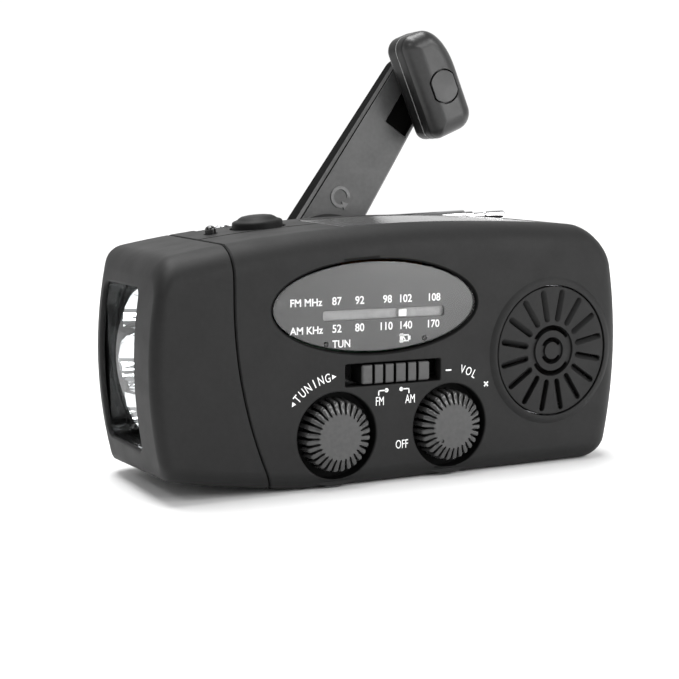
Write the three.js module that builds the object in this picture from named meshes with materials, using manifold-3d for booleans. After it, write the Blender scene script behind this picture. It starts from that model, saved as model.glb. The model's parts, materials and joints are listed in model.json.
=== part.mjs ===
// Hand-crank emergency radio with a torch in its left end, a solar panel on top,
// a folding crank on the back and a telescopic antenna along the rear top edge.
// Millimetres, +Z up, front towards -Y, torch towards -X, origin at the middle of the base.
import * as THREE from 'three';
import { mergeVertices } from 'three/addons/utils/BufferGeometryUtils.js';
import Module from 'manifold-3d';

const wasm = await Module();
wasm.setup();

// ---------------------------------------------------------------- driving dimensions
const HALF_LENGTH = 63;
const HALF_DEPTH = 22.5;
const TOP_HEIGHT = 61.2;
const TOP_CREST_X = 16;
const TOP_CREST_Y = 16;
const TOP_ARCH = 0.0012;
const TOP_SLOPE = 0.036;
const BULGE = 0.005;
const BULGE_Z = 29;
const WALL = 2.2;
const TOP_WALL = 4.2;
const GAP = 0.3;
const SPLIT_Y = -1;
const FRONT_Y = -HALF_DEPTH;
const BACK_Y = HALF_DEPTH;

const TUNING = { x: -19.4, z: 12.2 };
const VOLUME = { x: 10.5, z: 12.2 };
const DISH_R = 10;
const DISH_FLOOR_Y = FRONT_Y + 3.3;
const KNOB_FACE_Y = FRONT_Y - 2.6;
const KNOB_RIBS = 28;

const DIAL = { x: -8.8, z: 41.2, a: 26.55, b: 10.74 };
const DIAL_LIP = 0.8;
const DIAL_LAYERS = { window: [0.15, 0.75], lip: 0.9, plate: [1.05, 1.85], pointer: [1.1, 5.5] };
const SCALE = { x0: -22.5, x1: 9.3, z: 39.4, height: 2.3 };
const POINTER = { x: -1.9, halfX: 1.05 };
const DIAL_LEDS = { tuning_led: [-21.7, 33.1], charge_led: [3.9, 33.2] };
const LED_R = 0.45;
const SLOT = { x: -4.8, z: 25.75, halfX: 12.6, halfZ: 2.6 };
const CAP = { x: -4.35, halfX: 8.95, halfZ: 2.2, grooves: [-6, -3.2, -0.4, 2.8, 5.6], groove: 0.6 };
const SPEAKER = { x: 39.5, z: 28.4, r: 16.1, ringR: 18, ringTopR: 16.7, rise: 0.6 };
const SPEAKER_SLOT = { count: 16, inner: 7.2, outer: 15.1, half: 0.8 };

const PANEL = { x0: -13.5, x1: 42, y0: -14, y1: 11 };
const BUTTON = { x: -26, y: 6.5, r: 6.4 };
const POWER_LED = { x: -38.2, y: 6, r: 1.4 };
const WINDOW = { y: 2, halfY: 12, z0: 10.2, z1: 46.3 };
const LED_Z = [17.1, 28.6, 40.1];

const HUB = { x: 0.5, z: 44.8 };
const CRANK_ANGLE = THREE.MathUtils.degToRad(56.9);
const GRIP_TILT = THREE.MathUtils.degToRad(56.1);
const ARM = { y0: 37.5, root: 8.2, tip: 4.8, length: 67.5, rootHalf: 9.3, tipHalf: 7.3 };
const GRIP = { x: 62.5, z: -3.1, y0: 24, split: 30.6, y1: 37 };
// Outline of the grip about its pin: +X towards its far end. Each corner has
// its own radii along X and Z, and one long side falls away in a wide shoulder.
const GRIP_BOX = { x0: -13, x1: 15.9, z0: -6.8, z1: 7.1 };
const GRIP_CORNERS = [
  { x: 1, z: -1, rx: 12.4, rz: 6.9 }, { x: 1, z: 1, rx: 3.8, rz: 3.8 },
  { x: -1, z: 1, rx: 3, rz: 3 }, { x: -1, z: -1, rx: 4.8, rz: 4.8 },
];
const TURRET = { r: 15, endR: 14, inner: 10.4, y: 34.4 };

const GEAR_MODULE = 0.8;
const CRANK_TEETH = 20;
const IDLER_TEETH = 12;
const WHEEL_TEETH = 32;
const PINION_TEETH = 12;
const IDLER_ANGLE = THREE.MathUtils.degToRad(230);
const DYNAMO_ANGLE = THREE.MathUtils.degToRad(290);

const ANTENNA = { x0: -30, z0: 57.2, x1: 53.2, z1: 61.1, y: 18.3 };
const SCREWS = [[-31, 6.5], [-40.2, 49], [54, 9], [51.5, 49]];

// ---------------------------------------------------------------- solids and placing
const radio = new THREE.Group();

function solid(geometry) {
  const bare = geometry.clone();
  bare.deleteAttribute('normal');
  bare.deleteAttribute('uv');
  const merged = mergeVertices(bare, 1e-4);
  return new wasm.Manifold(new wasm.Mesh({
    numProp: 3,
    vertProperties: new Float32Array(merged.attributes.position.array),
    triVerts: new Uint32Array(merged.index.array),
  }));
}

function geometryOf(manifold) {
  const mesh = manifold.getMesh();
  const geometry = new THREE.BufferGeometry();
  geometry.setAttribute('position', new THREE.BufferAttribute(new Float32Array(mesh.vertProperties), 3));
  geometry.setIndex(new THREE.BufferAttribute(new Uint32Array(mesh.triVerts), 1));
  geometry.computeVertexNormals();
  return geometry;
}

function place(name, shape, material, parent = radio) {
  const mesh = new THREE.Mesh(geometryOf(shape), material);
  mesh.name = name;
  parent.add(mesh);
  return mesh;
}

function look(color, roughness, metalness = 0, opacity = 1) {
  return new THREE.MeshStandardMaterial({ color, roughness, metalness, opacity, transparent: opacity < 1 });
}

const CASE_BLACK = look(0x2b2b2d, 0.62);
const KNOB_BLACK = look(0x38383a, 0.5);
const RUBBER = look(0x1c1c1e, 0.85);
const SATIN_GREY = look(0x3d3d40, 0.48);
const GLOSS_BLACK = look(0x0d0d0f, 0.12);
const DIAL_FACE = look(0x55575a, 0.35);
const CLEAR = look(0xdfe6ea, 0.05, 0, 0.3);
const CHROME = look(0xd8dadd, 0.08, 1);
const STEEL = look(0x9a9da0, 0.3, 1);
const SWITCH_GREY = look(0x5c5c60, 0.5);
const SOLAR = look(0x1b1f2b, 0.18);
const BOARD = look(0x1f5a33, 0.5);
const FERRITE = look(0x24211f, 0.7);
const COPPER = look(0xb46a3c, 0.35, 0.8);
const NYLON = look(0xe6e2d6, 0.45);
const WHITE = look(0xf2f2ee, 0.4);
const LED_CLEAR = look(0xf3f6f8, 0.1, 0, 0.6);
const BATTERY_WRAP = look(0x2f6fb0, 0.4);
const PAPER = look(0x2c2926, 0.9);

// Axes of an outline drawn in a plane and the direction it is extruded in.
const PLANES = {
  x: new THREE.Matrix4().makeBasis(
    new THREE.Vector3(0, 1, 0), new THREE.Vector3(0, 0, 1), new THREE.Vector3(1, 0, 0)),
  y: new THREE.Matrix4().makeBasis(
    new THREE.Vector3(1, 0, 0), new THREE.Vector3(0, 0, 1), new THREE.Vector3(0, -1, 0)),
  z: new THREE.Matrix4(),
};

// Prism of an outline between two positions along an axis: the outline is in
// (y, z) along x, in (x, z) along y and in (x, y) along z.
function prism(axis, points, from, to) {
  const shape = new THREE.Shape(points.map(([a, b]) => new THREE.Vector2(a, b)));
  const geometry = new THREE.ExtrudeGeometry(shape, { depth: to - from, bevelEnabled: false });
  geometry.applyMatrix4(PLANES[axis]);
  const start = axis === 'y' ? to : from;
  geometry.translate(axis === 'x' ? start : 0, axis === 'y' ? start : 0, axis === 'z' ? start : 0);
  return solid(geometry);
}

function circle(cx, cz, r, segments = 24, rz = r, phase = 0) {
  return Array.from({ length: segments }, (_, i) => {
    const angle = phase + (i / segments) * 2 * Math.PI;
    return [cx + r * Math.cos(angle), cz + rz * Math.sin(angle)];
  });
}

function rectangle(a0, a1, b0, b1, r = 0, steps = 3) {
  if (r === 0) return [[a0, b0], [a1, b0], [a1, b1], [a0, b1]];
  const corners = [[a1 - r, b0 + r, -90], [a1 - r, b1 - r, 0], [a0 + r, b1 - r, 90], [a0 + r, b0 + r, 180]];
  const points = [];
  for (const [ca, cb, start] of corners) {
    for (let i = 0; i <= steps; i += 1) {
      const angle = THREE.MathUtils.degToRad(start + (90 * i) / steps);
      points.push([ca + r * Math.cos(angle), cb + r * Math.sin(angle)]);
    }
  }
  return points;
}

const box = (x0, x1, y0, y1, z0, z1, r = 0) => prism('y', rectangle(x0, x1, z0, z1, r), y0, y1);
const rod = (cx, cz, r, y0, y1, segments = 24) => prism('y', circle(cx, cz, r, segments), y0, y1);
const rodX = (cy, cz, r, x0, x1, segments = 16) => prism('x', circle(cy, cz, r, segments), x0, x1);
const rodZ = (cx, cy, r, z0, z1, segments = 20) => prism('z', circle(cx, cy, r, segments), z0, z1);

// Solid of revolution about a line parallel to Y: the profile is [radius, y].
function turned(cx, cz, profile, segments = 24) {
  const points = profile.map(([r, y]) => new THREE.Vector2(r, y));
  const geometry = new THREE.LatheGeometry(points, segments);
  geometry.translate(cx, 0, cz);
  return outward(geometry);
}

function outward(geometry) {
  const first = solid(geometry);
  if (first.volume() > 0) return first;
  const index = geometry.index.array;
  for (let i = 0; i < index.length; i += 3) [index[i], index[i + 1]] = [index[i + 1], index[i]];
  return solid(geometry);
}

// Closed skin through rings of equal point counts, given as arrays of [x, y, z].
function skin(rings) {
  const count = rings[0].length;
  const positions = rings.flat(2);
  const faces = [];
  for (let i = 0; i < rings.length - 1; i += 1) {
    for (let j = 0; j < count; j += 1) {
      const k = (j + 1) % count;
      const [a, b, c, d] = [i * count + j, i * count + k, (i + 1) * count + k, (i + 1) * count + j];
      faces.push(a, b, c, a, c, d);
    }
  }
  // Each end is closed by strips between the two halves of its ring.
  const half = count / 2;
  for (const base of [0, (rings.length - 1) * count]) {
    for (let i = 0; i < half - 1; i += 1) {
      const [a, b, c, d] = [base + i, base + i + 1, base + count - 2 - i, base + count - 1 - i];
      if (base === 0) faces.push(a, c, b, a, d, c);
      else faces.push(a, b, c, a, c, d);
    }
  }
  const geometry = new THREE.BufferGeometry();
  geometry.setAttribute('position', new THREE.Float32BufferAttribute(positions, 3));
  geometry.setIndex(faces);
  return outward(geometry);
}

// ---------------------------------------------------------------- case outline
const topLine = (x) => TOP_HEIGHT - TOP_ARCH * (x - TOP_CREST_X) ** 2;
const topAt = (x, y) => topLine(x) - TOP_SLOPE * (TOP_CREST_Y - y);
const baseLine = (x) => (x < -26 ? 4.7 * ((-26 - x) / 34) ** 1.5 : 0);

function roundOff(radius, fromEnd) {
  if (fromEnd >= radius) return 0;
  return radius - Math.sqrt(Math.max(radius ** 2 - (radius - fromEnd) ** 2, 0));
}

// Corner radii of the case seen in plan and from the front, at each end.
const LEFT_END = { front: 4, back: 7.5, top: 4.5, base: 5 };
const RIGHT_END = { front: 8, back: 8, top: 12.5, base: 6.5 };

// Half ring of the case section at x: from the base up to the top on one side.
function sideOfSection(x, inset, topInset, side, steps) {
  const end = x < 0 ? LEFT_END : RIGHT_END;
  const fromEnd = HALF_LENGTH - inset - Math.abs(x);
  const shrink = (radius) => roundOff(Math.max(radius - inset, 2), fromEnd);
  const plan = shrink(side < 0 ? end.front : end.back);
  const edge = side * (HALF_DEPTH - inset - plan);
  const low = baseLine(x) + inset + shrink(end.base);
  const high = topLine(x) - topInset - shrink(end.top);
  const baseR = Math.max(4.5 - inset - plan, 1.2);
  const roundTop = inset > 0 ? 2.5 : (side < 0 ? 7.5 : 5);
  const topR = Math.max(roundTop - plan, 1.5);
  const ring = [];
  for (let i = 0; i <= steps; i += 1) {
    const angle = (i / steps) * (Math.PI / 2);
    ring.push([edge - side * baseR * (1 - Math.sin(angle)), low + baseR * (1 - Math.cos(angle))]);
  }
  for (let i = 1; i < 5; i += 1) {
    ring.push([edge, THREE.MathUtils.lerp(low + baseR, high - topR, i / 5)]);
  }
  for (let i = 0; i <= steps; i += 1) {
    const angle = (i / steps) * (Math.PI / 2);
    ring.push([edge - side * topR * (1 - Math.cos(angle)), high - topR * (1 - Math.sin(angle))]);
  }
  return ring.map(([y, z]) => {
    const lean = TOP_SLOPE * (TOP_CREST_Y - y) * (z / TOP_HEIGHT);
    const bow = Math.sign(x) * BULGE * (z - BULGE_Z) ** 2 * (x / HALF_LENGTH) ** 4;
    return [x - bow, y, z - lean];
  });
}

function caseSolid(inset, topInset, steps) {
  const half = HALF_LENGTH - inset;
  const stations = [];
  for (let i = 0; i <= 5; i += 1) stations.push(-half + 8 * (1 - Math.cos((i * Math.PI) / 10)));
  for (let i = 1; i < 8; i += 1) stations.push(THREE.MathUtils.lerp(8 - half, half - 13, i / 8));
  for (let i = 5; i >= 0; i -= 1) stations.push(half - 13 * (1 - Math.cos((i * Math.PI) / 10)));
  return skin(stations.map((x) => [
    ...sideOfSection(x, inset, topInset, -1, steps),
    ...sideOfSection(x, inset, topInset, 1, steps).reverse(),
  ]));
}

// Slab between two heights over a rectangle, following the arched top of the case.
function topSlab(x0, x1, y0, y1, below, above, cells = 10) {
  const rings = [];
  for (let i = 0; i <= cells; i += 1) {
    const x = THREE.MathUtils.lerp(x0, x1, i / cells);
    rings.push([
      [x, y0, topAt(x, y0) - below], [x, y0, topAt(x, y0) + above],
      [x, y1, topAt(x, y1) + above], [x, y1, topAt(x, y1) - below],
    ]);
  }
  return skin(rings);
}

// Joint line between the torch cap and the main case, upright at the top and
// sweeping towards the base.
function capRegion(shift) {
  const points = [[-80, -10], [-80, 80], [-44.2 + shift, 80], [-44.2 + shift, 44]];
  for (let i = 1; i <= 9; i += 1) {
    const t = i / 9;
    points.push([-44.2 + 10.6 * t ** 2.1 + shift, 44 - 46 * t]);
  }
  points.push([-33.6 + shift, -10]);
  return prism('y', points.reverse(), -40, 40);
}

// ---------------------------------------------------------------- case shells
const outerCase = caseSolid(0, 0, 4);
const innerCase = caseSolid(WALL, TOP_WALL, 2);
const hollowCase = outerCase.subtract(innerCase);
const panelRecess = topSlab(PANEL.x0, PANEL.x1, PANEL.y0, PANEL.y1, 2.3, 8);
const mainRegion = box(-80, 80, -60, 60, -10, 90).subtract(capRegion(GAP / 2));

function knobDish(shell, { x, z }) {
  const cup = rod(x, z, DISH_R + 1.6, FRONT_Y + 1, DISH_FLOOR_Y + 1.6, 28);
  return shell.add(cup)
    .subtract(rod(x, z, DISH_R, FRONT_Y - 5, DISH_FLOOR_Y, 28))
    .subtract(rod(x, z, 3.6, FRONT_Y, DISH_FLOOR_Y + 5, 16));
}

// Oval of the dial drawn out by an offset, between two depths from the front.
function dialOval(offset, from, to) {
  const outline = circle(DIAL.x, DIAL.z, DIAL.a + offset, 36, DIAL.b + offset);
  return prism('y', outline, FRONT_Y + from, FRONT_Y + to);
}

function frontShell() {
  const region = box(-80, 80, -60, SPLIT_Y - GAP / 2, -10, 90);
  let shell = hollowCase.intersect(mainRegion).intersect(region);
  shell = knobDish(knobDish(shell, TUNING), VOLUME);
  shell = shell.subtract(dialOval(0, -2, DIAL_LAYERS.lip)).subtract(dialOval(-DIAL_LIP, 0, 7.5));
  const { x: slotX, z: slotZ, halfX, halfZ } = SLOT;
  shell = shell.subtract(box(slotX - halfX, slotX + halfX, FRONT_Y - 2, -15, slotZ - halfZ, slotZ + halfZ));
  shell = shell.add(turned(SPEAKER.x, SPEAKER.z, [
    [0, FRONT_Y + 1], [SPEAKER.ringR, FRONT_Y + 1], [SPEAKER.ringR, FRONT_Y],
    [SPEAKER.ringTopR, FRONT_Y - SPEAKER.rise], [0, FRONT_Y - SPEAKER.rise],
  ], 36));
  shell = shell.subtract(rod(SPEAKER.x, SPEAKER.z, SPEAKER.r, FRONT_Y - 2, -15, 36));
  for (const [x, z] of SCREWS) {
    shell = shell.add(rod(x, z, 3, FRONT_Y + WALL - 0.4, SPLIT_Y - GAP / 2, 16));
    shell = shell.subtract(rod(x, z, 1.4, FRONT_Y + WALL + 2, SPLIT_Y + 2, 12));
  }
  return shell.subtract(panelRecess);
}

// Straight line of the stowed antenna along the rear top edge.
const antennaZ = (x) => THREE.MathUtils.mapLinear(x, ANTENNA.x0, ANTENNA.x1, ANTENNA.z0, ANTENNA.z1);

function ledgeCut(x0, x1, below, y0, y1) {
  const points = [[x0, antennaZ(x0) - below], [x1, antennaZ(x1) - below], [x1, 80], [x0, 80]];
  return prism('y', points, y0, y1);
}

const BATTERY_DOOR = { x0: 10.5, x1: 46, z0: 5, z1: 25 };
const USB = { x: -27, z: 19, halfX: 7, halfZ: 3.4, inner: [6.2, 2.7], y0: 11 };
const CHARGE = { x: -27, z: 28, halfX: 4, halfZ: 1.9, inner: [3.4, 1.3], y0: 14 };

function rearShell() {
  const region = box(-80, 80, SPLIT_Y + GAP / 2, 60, -10, 90);
  let shell = hollowCase.intersect(mainRegion).intersect(region);
  const shelf = ledgeCut(-43.9, 58, 3.9, 13.9, BACK_Y).intersect(outerCase).intersect(mainRegion);
  shell = shell.add(shelf).subtract(ledgeCut(-38, 64, 2.6, 15.8, 30));
  const turret = turned(HUB.x, HUB.z, [
    [0, BACK_Y - 2], [TURRET.r, BACK_Y - 2], [TURRET.r, BACK_Y + 1],
    [TURRET.endR, TURRET.y], [0, TURRET.y],
  ], 32);
  shell = shell.add(turret);
  shell = shell.subtract(rod(HUB.x, HUB.z, TURRET.inner, 19, TURRET.y - 2.2, 24));
  shell = shell.subtract(rod(HUB.x, HUB.z, 3.6, 30, 40, 20));
  for (const [x, z] of SCREWS) {
    shell = shell.add(rod(x, z, 3.6, SPLIT_Y + GAP / 2, BACK_Y - 1, 16));
    shell = shell.subtract(rod(x, z, 1.4, SPLIT_Y - 2, BACK_Y + 2, 12));
    shell = shell.subtract(rod(x, z, 2.9, BACK_Y - 2, BACK_Y + 2, 16));
  }
  const { x0, x1, z0, z1 } = BATTERY_DOOR;
  shell = shell.subtract(box(x0, x1, 18, 30, z0, z1, 2));
  for (const { x, z, halfX, halfZ } of [USB, CHARGE]) {
    shell = shell.subtract(box(x - halfX - GAP, x + halfX + GAP, 18, 30, z - halfZ - GAP, z + halfZ + GAP));
  }
  shell = shell.subtract(rodZ(BUTTON.x, BUTTON.y, BUTTON.r + GAP, 50, 70, 24));
  shell = shell.subtract(rodZ(POWER_LED.x, POWER_LED.y, POWER_LED.r + GAP, 53, 70, 14));
  return shell.subtract(panelRecess);
}

// Rounded tunnel of the torch window, drawn out by an offset.
function windowPrism(offset, from, to) {
  const { y, halfY, z0, z1 } = WINDOW;
  const [y0, y1] = [y - halfY - offset, y + halfY + offset];
  return prism('x', rectangle(y0, y1, z0 - offset, z1 + offset, 2.2 + offset), from, to);
}

function torchCap() {
  let shell = hollowCase.intersect(capRegion(-GAP / 2));
  shell = shell.add(windowPrism(1.6, -HALF_LENGTH - 2, -53).intersect(outerCase));
  return shell.subtract(windowPrism(0, -HALF_LENGTH - 5, -50));
}

place('front_shell', frontShell(), CASE_BLACK);
place('rear_shell', rearShell(), CASE_BLACK);
place('torch_cap', torchCap(), CASE_BLACK);

function caseScrew(x, z) {
  const head = rod(x, z, 2.4, BACK_Y - 1.7, BACK_Y - 0.3, 16);
  return head.add(rod(x, z, 1.1, -13, BACK_Y - 1.6, 12)).subtract(cross(x, z, BACK_Y - 1, BACK_Y + 1));
}

function cross(x, z, y0, y1) {
  const across = box(x - 1.5, x + 1.5, y0, y1, z - 0.3, z + 0.3);
  return across.add(box(x - 0.3, x + 0.3, y0, y1, z - 1.5, z + 1.5));
}

SCREWS.forEach(([x, z], i) => place(`case_screw_${i + 1}`, caseScrew(x, z), STEEL));

// ---------------------------------------------------------------- battery and sockets
const doorInset = [BATTERY_DOOR.x0 + GAP, BATTERY_DOOR.x1 - GAP, BACK_Y - WALL, BACK_Y];
place('battery_cover', box(...doorInset, BATTERY_DOOR.z0 + GAP, BATTERY_DOOR.z1 - GAP, 1.8), CASE_BLACK);
// Three cells of a rechargeable pack in one sleeve, lying along X.
const CELL_R = 4.9;
const CELLS = [[14.2, 10.4], [14.2, 19.6], [6.4, 15]];
place('battery_pack', CELLS.reduce(
  (pack, [y, z]) => pack.add(rodX(y, z, CELL_R, 12.5, 43.5, 14)),
  box(13, 43, 7, 17, 10.5, 19.5),
), BATTERY_WRAP);

function socket({ x, z, halfX, halfZ, inner, y0 }) {
  const [innerX, innerZ] = inner;
  return box(x - halfX, x + halfX, y0, BACK_Y - 0.3, z - halfZ, z + halfZ)
    .subtract(box(x - innerX, x + innerX, y0 + 1, BACK_Y + 1, z - innerZ, z + innerZ));
}

place('usb_socket', socket(USB), STEEL);
place('charge_socket', socket(CHARGE), STEEL);

// ---------------------------------------------------------------- solar panel and top controls
// Slab of the solar panel, drawn in by an inset, between two depths below the top.
function panelSlab(inset, below, above) {
  const { x0, x1, y0, y1 } = PANEL;
  return topSlab(x0 + inset, x1 - inset, y0 + inset, y1 - inset, below, above);
}
place('solar_cell', panelSlab(1.2, 2.0, -1.5), SOLAR);
place('solar_cover', panelSlab(GAP, 1.2, 0), CLEAR);

const buttonTop = topAt(BUTTON.x, BUTTON.y);
function torchButton() {
  const { x, y, r } = BUTTON;
  const profile = [[0, -3.2], [r - 0.3, -3.2], [r - 0.3, 1.1], [r - 1, 1.7], [r - 1.9, 1.9],
    [r - 2.2, 2.5], [r - 3, 3], [0, 3.3]];
  const geometry = new THREE.LatheGeometry(profile.map(([a, b]) => new THREE.Vector2(a, b)), 24);
  geometry.rotateX(Math.PI / 2);
  geometry.translate(x, y, buttonTop);
  return outward(geometry);
}
place('torch_button', torchButton(), RUBBER);
const SWITCH_HALF = 2.6;
const switchX = [BUTTON.x - SWITCH_HALF, BUTTON.x + SWITCH_HALF];
const switchY = [BUTTON.y - SWITCH_HALF, BUTTON.y + SWITCH_HALF];
place('torch_switch', box(...switchX, ...switchY, buttonTop - 10, buttonTop - 5.4), GLOSS_BLACK);

const powerTop = topAt(POWER_LED.x, POWER_LED.y);
function powerLed() {
  const { r } = POWER_LED;
  const points = [[0, -4.2], [r, -4.2], [r, 0.2], [r - 0.4, 0.9], [0, 1.2]];
  const geometry = new THREE.LatheGeometry(points.map(([a, b]) => new THREE.Vector2(a, b)), 14);
  geometry.rotateX(Math.PI / 2);
  geometry.translate(POWER_LED.x, POWER_LED.y, powerTop);
  return outward(geometry);
}
place('power_led', powerLed(), GLOSS_BLACK);

// ---------------------------------------------------------------- torch
// The reflector and the lens bow outwards from top to bottom.
const bowX = (z, x) => x + ((z - 28.8) ** 2) / 86;
function bowedBlock(front, back, cells = 8) {
  const { y, halfY, z0, z1 } = WINDOW;
  const [y0, y1] = [y - halfY, y + halfY];
  const rings = [];
  for (let i = 0; i <= cells; i += 1) {
    const z = THREE.MathUtils.lerp(z0, z1, i / cells);
    rings.push([[bowX(z, front), y0, z], [bowX(z, front), y1, z], [back(z), y1, z], [back(z), y0, z]]);
  }
  return skin(rings).intersect(windowPrism(-GAP, -70, -40));
}

function reflector() {
  let block = bowedBlock(-59.4, () => -51.6);
  for (const z of LED_Z) {
    const cup = new THREE.LatheGeometry([
      [0, 0], [2.9, 0], [2.9, 1.4], [4.3, 3.2], [5.2, 6], [5.6, 12], [0, 12],
    ].map(([a, b]) => new THREE.Vector2(a, b)), 20);
    cup.rotateZ(Math.PI / 2);
    cup.translate(-51, WINDOW.y, z);
    block = block.subtract(outward(cup));
  }
  return block;
}
place('reflector', reflector(), CHROME);
place('torch_lens', bowedBlock(-61, (z) => bowX(z, -60)), CLEAR);
LED_Z.forEach((z, i) => {
  const led = new THREE.LatheGeometry([[0, 0], [2.5, 0], [2.5, 4], [1.9, 5.4], [0, 6.4]]
    .map(([a, b]) => new THREE.Vector2(a, b)), 14);
  led.rotateZ(Math.PI / 2);
  led.translate(-50.9, WINDOW.y, z);
  place(`led_${i + 1}`, outward(led), LED_CLEAR);
});
place('led_board', box(-50.6, -49.2, WINDOW.y - 11.4, WINDOW.y + 11.4, 12, 45.5), BOARD);

// ---------------------------------------------------------------- dial, switch and speaker
place('dial_window', dialOval(-GAP, ...DIAL_LAYERS.window), CLEAR);

function dialPlate() {
  const { x0, x1, z, height } = SCALE;
  let plate = dialOval(-DIAL_LIP - GAP, ...DIAL_LAYERS.plate);
  for (const [x, ledZ] of Object.values(DIAL_LEDS)) {
    plate = plate.subtract(rod(x, ledZ, LED_R + GAP, -25, -15, 12));
  }
  return plate.subtract(box(x0, x1, -25, -15, z - height / 2, z + height / 2));
}
place('dial_plate', dialPlate(), DIAL_FACE);

const pointerHalf = SCALE.height / 2 - GAP;
const pointerDepth = DIAL_LAYERS.pointer.map((depth) => FRONT_Y + depth);
place('dial_pointer', box(POINTER.x - POINTER.halfX, POINTER.x + POINTER.halfX, ...pointerDepth,
  SCALE.z - pointerHalf, SCALE.z + pointerHalf), WHITE);
for (const [name, [x, z]] of Object.entries(DIAL_LEDS)) {
  place(name, rod(x, z, LED_R, FRONT_Y + 1.2, FRONT_Y + 3.6, 10), LED_CLEAR);
}

function switchCap() {
  const { x, halfX, halfZ, grooves, groove } = CAP;
  let cap = box(x - halfX, x + halfX, FRONT_Y - 0.4, FRONT_Y + 4.8, SLOT.z - halfZ, SLOT.z + halfZ);
  for (const offset of grooves) {
    const [x0, x1] = [x + offset - groove / 2, x + offset + groove / 2];
    cap = cap.subtract(box(x0, x1, FRONT_Y - 2, FRONT_Y + 0.4, SLOT.z - halfZ - 1, SLOT.z + halfZ + 1));
  }
  return cap;
}
place('band_switch_cap', switchCap(), SWITCH_GREY);
const switchBody = box(SLOT.x - 14, SLOT.x + 14, FRONT_Y + 5.2, FRONT_Y + 10, SLOT.z - 3.6, SLOT.z + 3.6);
place('band_switch_body', switchBody, STEEL);

function arcSlot(r0, r1, start, sweep) {
  const points = [];
  for (const [r, sign] of [[r1, 1], [r0, -1]]) {
    for (let i = 0; i <= 5; i += 1) {
      const t = sign > 0 ? i / 5 : 1 - i / 5;
      const angle = THREE.MathUtils.degToRad(start + sweep * t);
      points.push([SPEAKER.x + r * Math.cos(angle), SPEAKER.z + r * Math.sin(angle)]);
    }
  }
  return prism('y', points, FRONT_Y - 2, -15);
}

function speakerGrille() {
  const { x, z, r } = SPEAKER;
  const { count, inner, outer, half } = SPEAKER_SLOT;
  let disc = rod(x, z, r - GAP, FRONT_Y - 0.45, FRONT_Y + 1.2, 36);
  for (let i = 0; i < count; i += 1) {
    const angle = (i / count) * 2 * Math.PI;
    const [c, s] = [Math.cos(angle), Math.sin(angle)];
    const outline = rectangle(inner, outer, -half, half, 0.6, 1);
    const turnedOutline = outline.map(([u, v]) => [x + u * c - v * s, z + u * s + v * c]);
    disc = disc.subtract(prism('y', turnedOutline, FRONT_Y - 2, -15));
  }
  for (const start of [30, 210]) {
    disc = disc.subtract(arcSlot(5, 6.2, start, 120));
    disc = disc.subtract(arcSlot(2.1, 3.3, start, 120));
  }
  return disc;
}
place('speaker_grille', speakerGrille(), CASE_BLACK);
place('speaker_frame', turned(SPEAKER.x, SPEAKER.z, [
  [0, -6], [8, -6], [8, -10.4], [9.5, -11], [15.6, -17.6], [17.4, -18], [17.4, -19.4], [14.9, -19.4],
  [14.6, -18.4], [8.6, -12], [0, -12],
], 28), STEEL);
place('speaker_cone', turned(SPEAKER.x, SPEAKER.z, [
  [0, -14.4], [3.6, -13.4], [14, -18.9], [14.4, -19.5], [13.6, -19.6], [3.8, -14.4], [0, -15.6],
], 28), PAPER);

// ---------------------------------------------------------------- knobs
// Face is a flat disc; the ribs flare out towards the base like a bell.
function knob({ x, z }) {
  const ring = (y, crest, root) => Array.from({ length: KNOB_RIBS * 2 }, (_, i) => {
    const angle = (i / (KNOB_RIBS * 2)) * 2 * Math.PI;
    const r = i % 2 ? crest : root;
    return [x + r * Math.cos(angle), y, z + r * Math.sin(angle)];
  });
  const body = skin([
    ring(DISH_FLOOR_Y - 0.4, 9, 7.8), ring(FRONT_Y + 1.7, 7.8, 6.7),
    ring(FRONT_Y - 0.8, 6.4, 5.7), ring(KNOB_FACE_Y, 5.75, 5.6),
  ]);
  return body.add(rod(x, z, 3.2, DISH_FLOOR_Y - 1, -11.8, 16));
}
place('tuning_knob', knob(TUNING), KNOB_BLACK);
place('volume_knob', knob(VOLUME), KNOB_BLACK);
place('tuning_capacitor', box(TUNING.x - 8, TUNING.x + 8, -17, -11, TUNING.z - 8, TUNING.z + 8)
  .subtract(rod(TUNING.x, TUNING.z, 3.6, -20, -11.4, 16)), NYLON);
place('volume_pot', rod(VOLUME.x, VOLUME.z, 8, -17, -11, 24)
  .subtract(rod(VOLUME.x, VOLUME.z, 3.6, -20, -11.4, 16)), STEEL);

// ---------------------------------------------------------------- electronics
place('main_board', box(-26, 18, -10.6, -9.2, 4.5, 44), BOARD);
place('ferrite_rod', rodX(-5, 49.6, 3.6, -28, 30, 14), FERRITE);
place('ferrite_coil', rodX(-5, 49.6, 5, -12, 10, 18).subtract(rodX(-5, 49.6, 3.9, -13, 11, 18)), COPPER);

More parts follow.
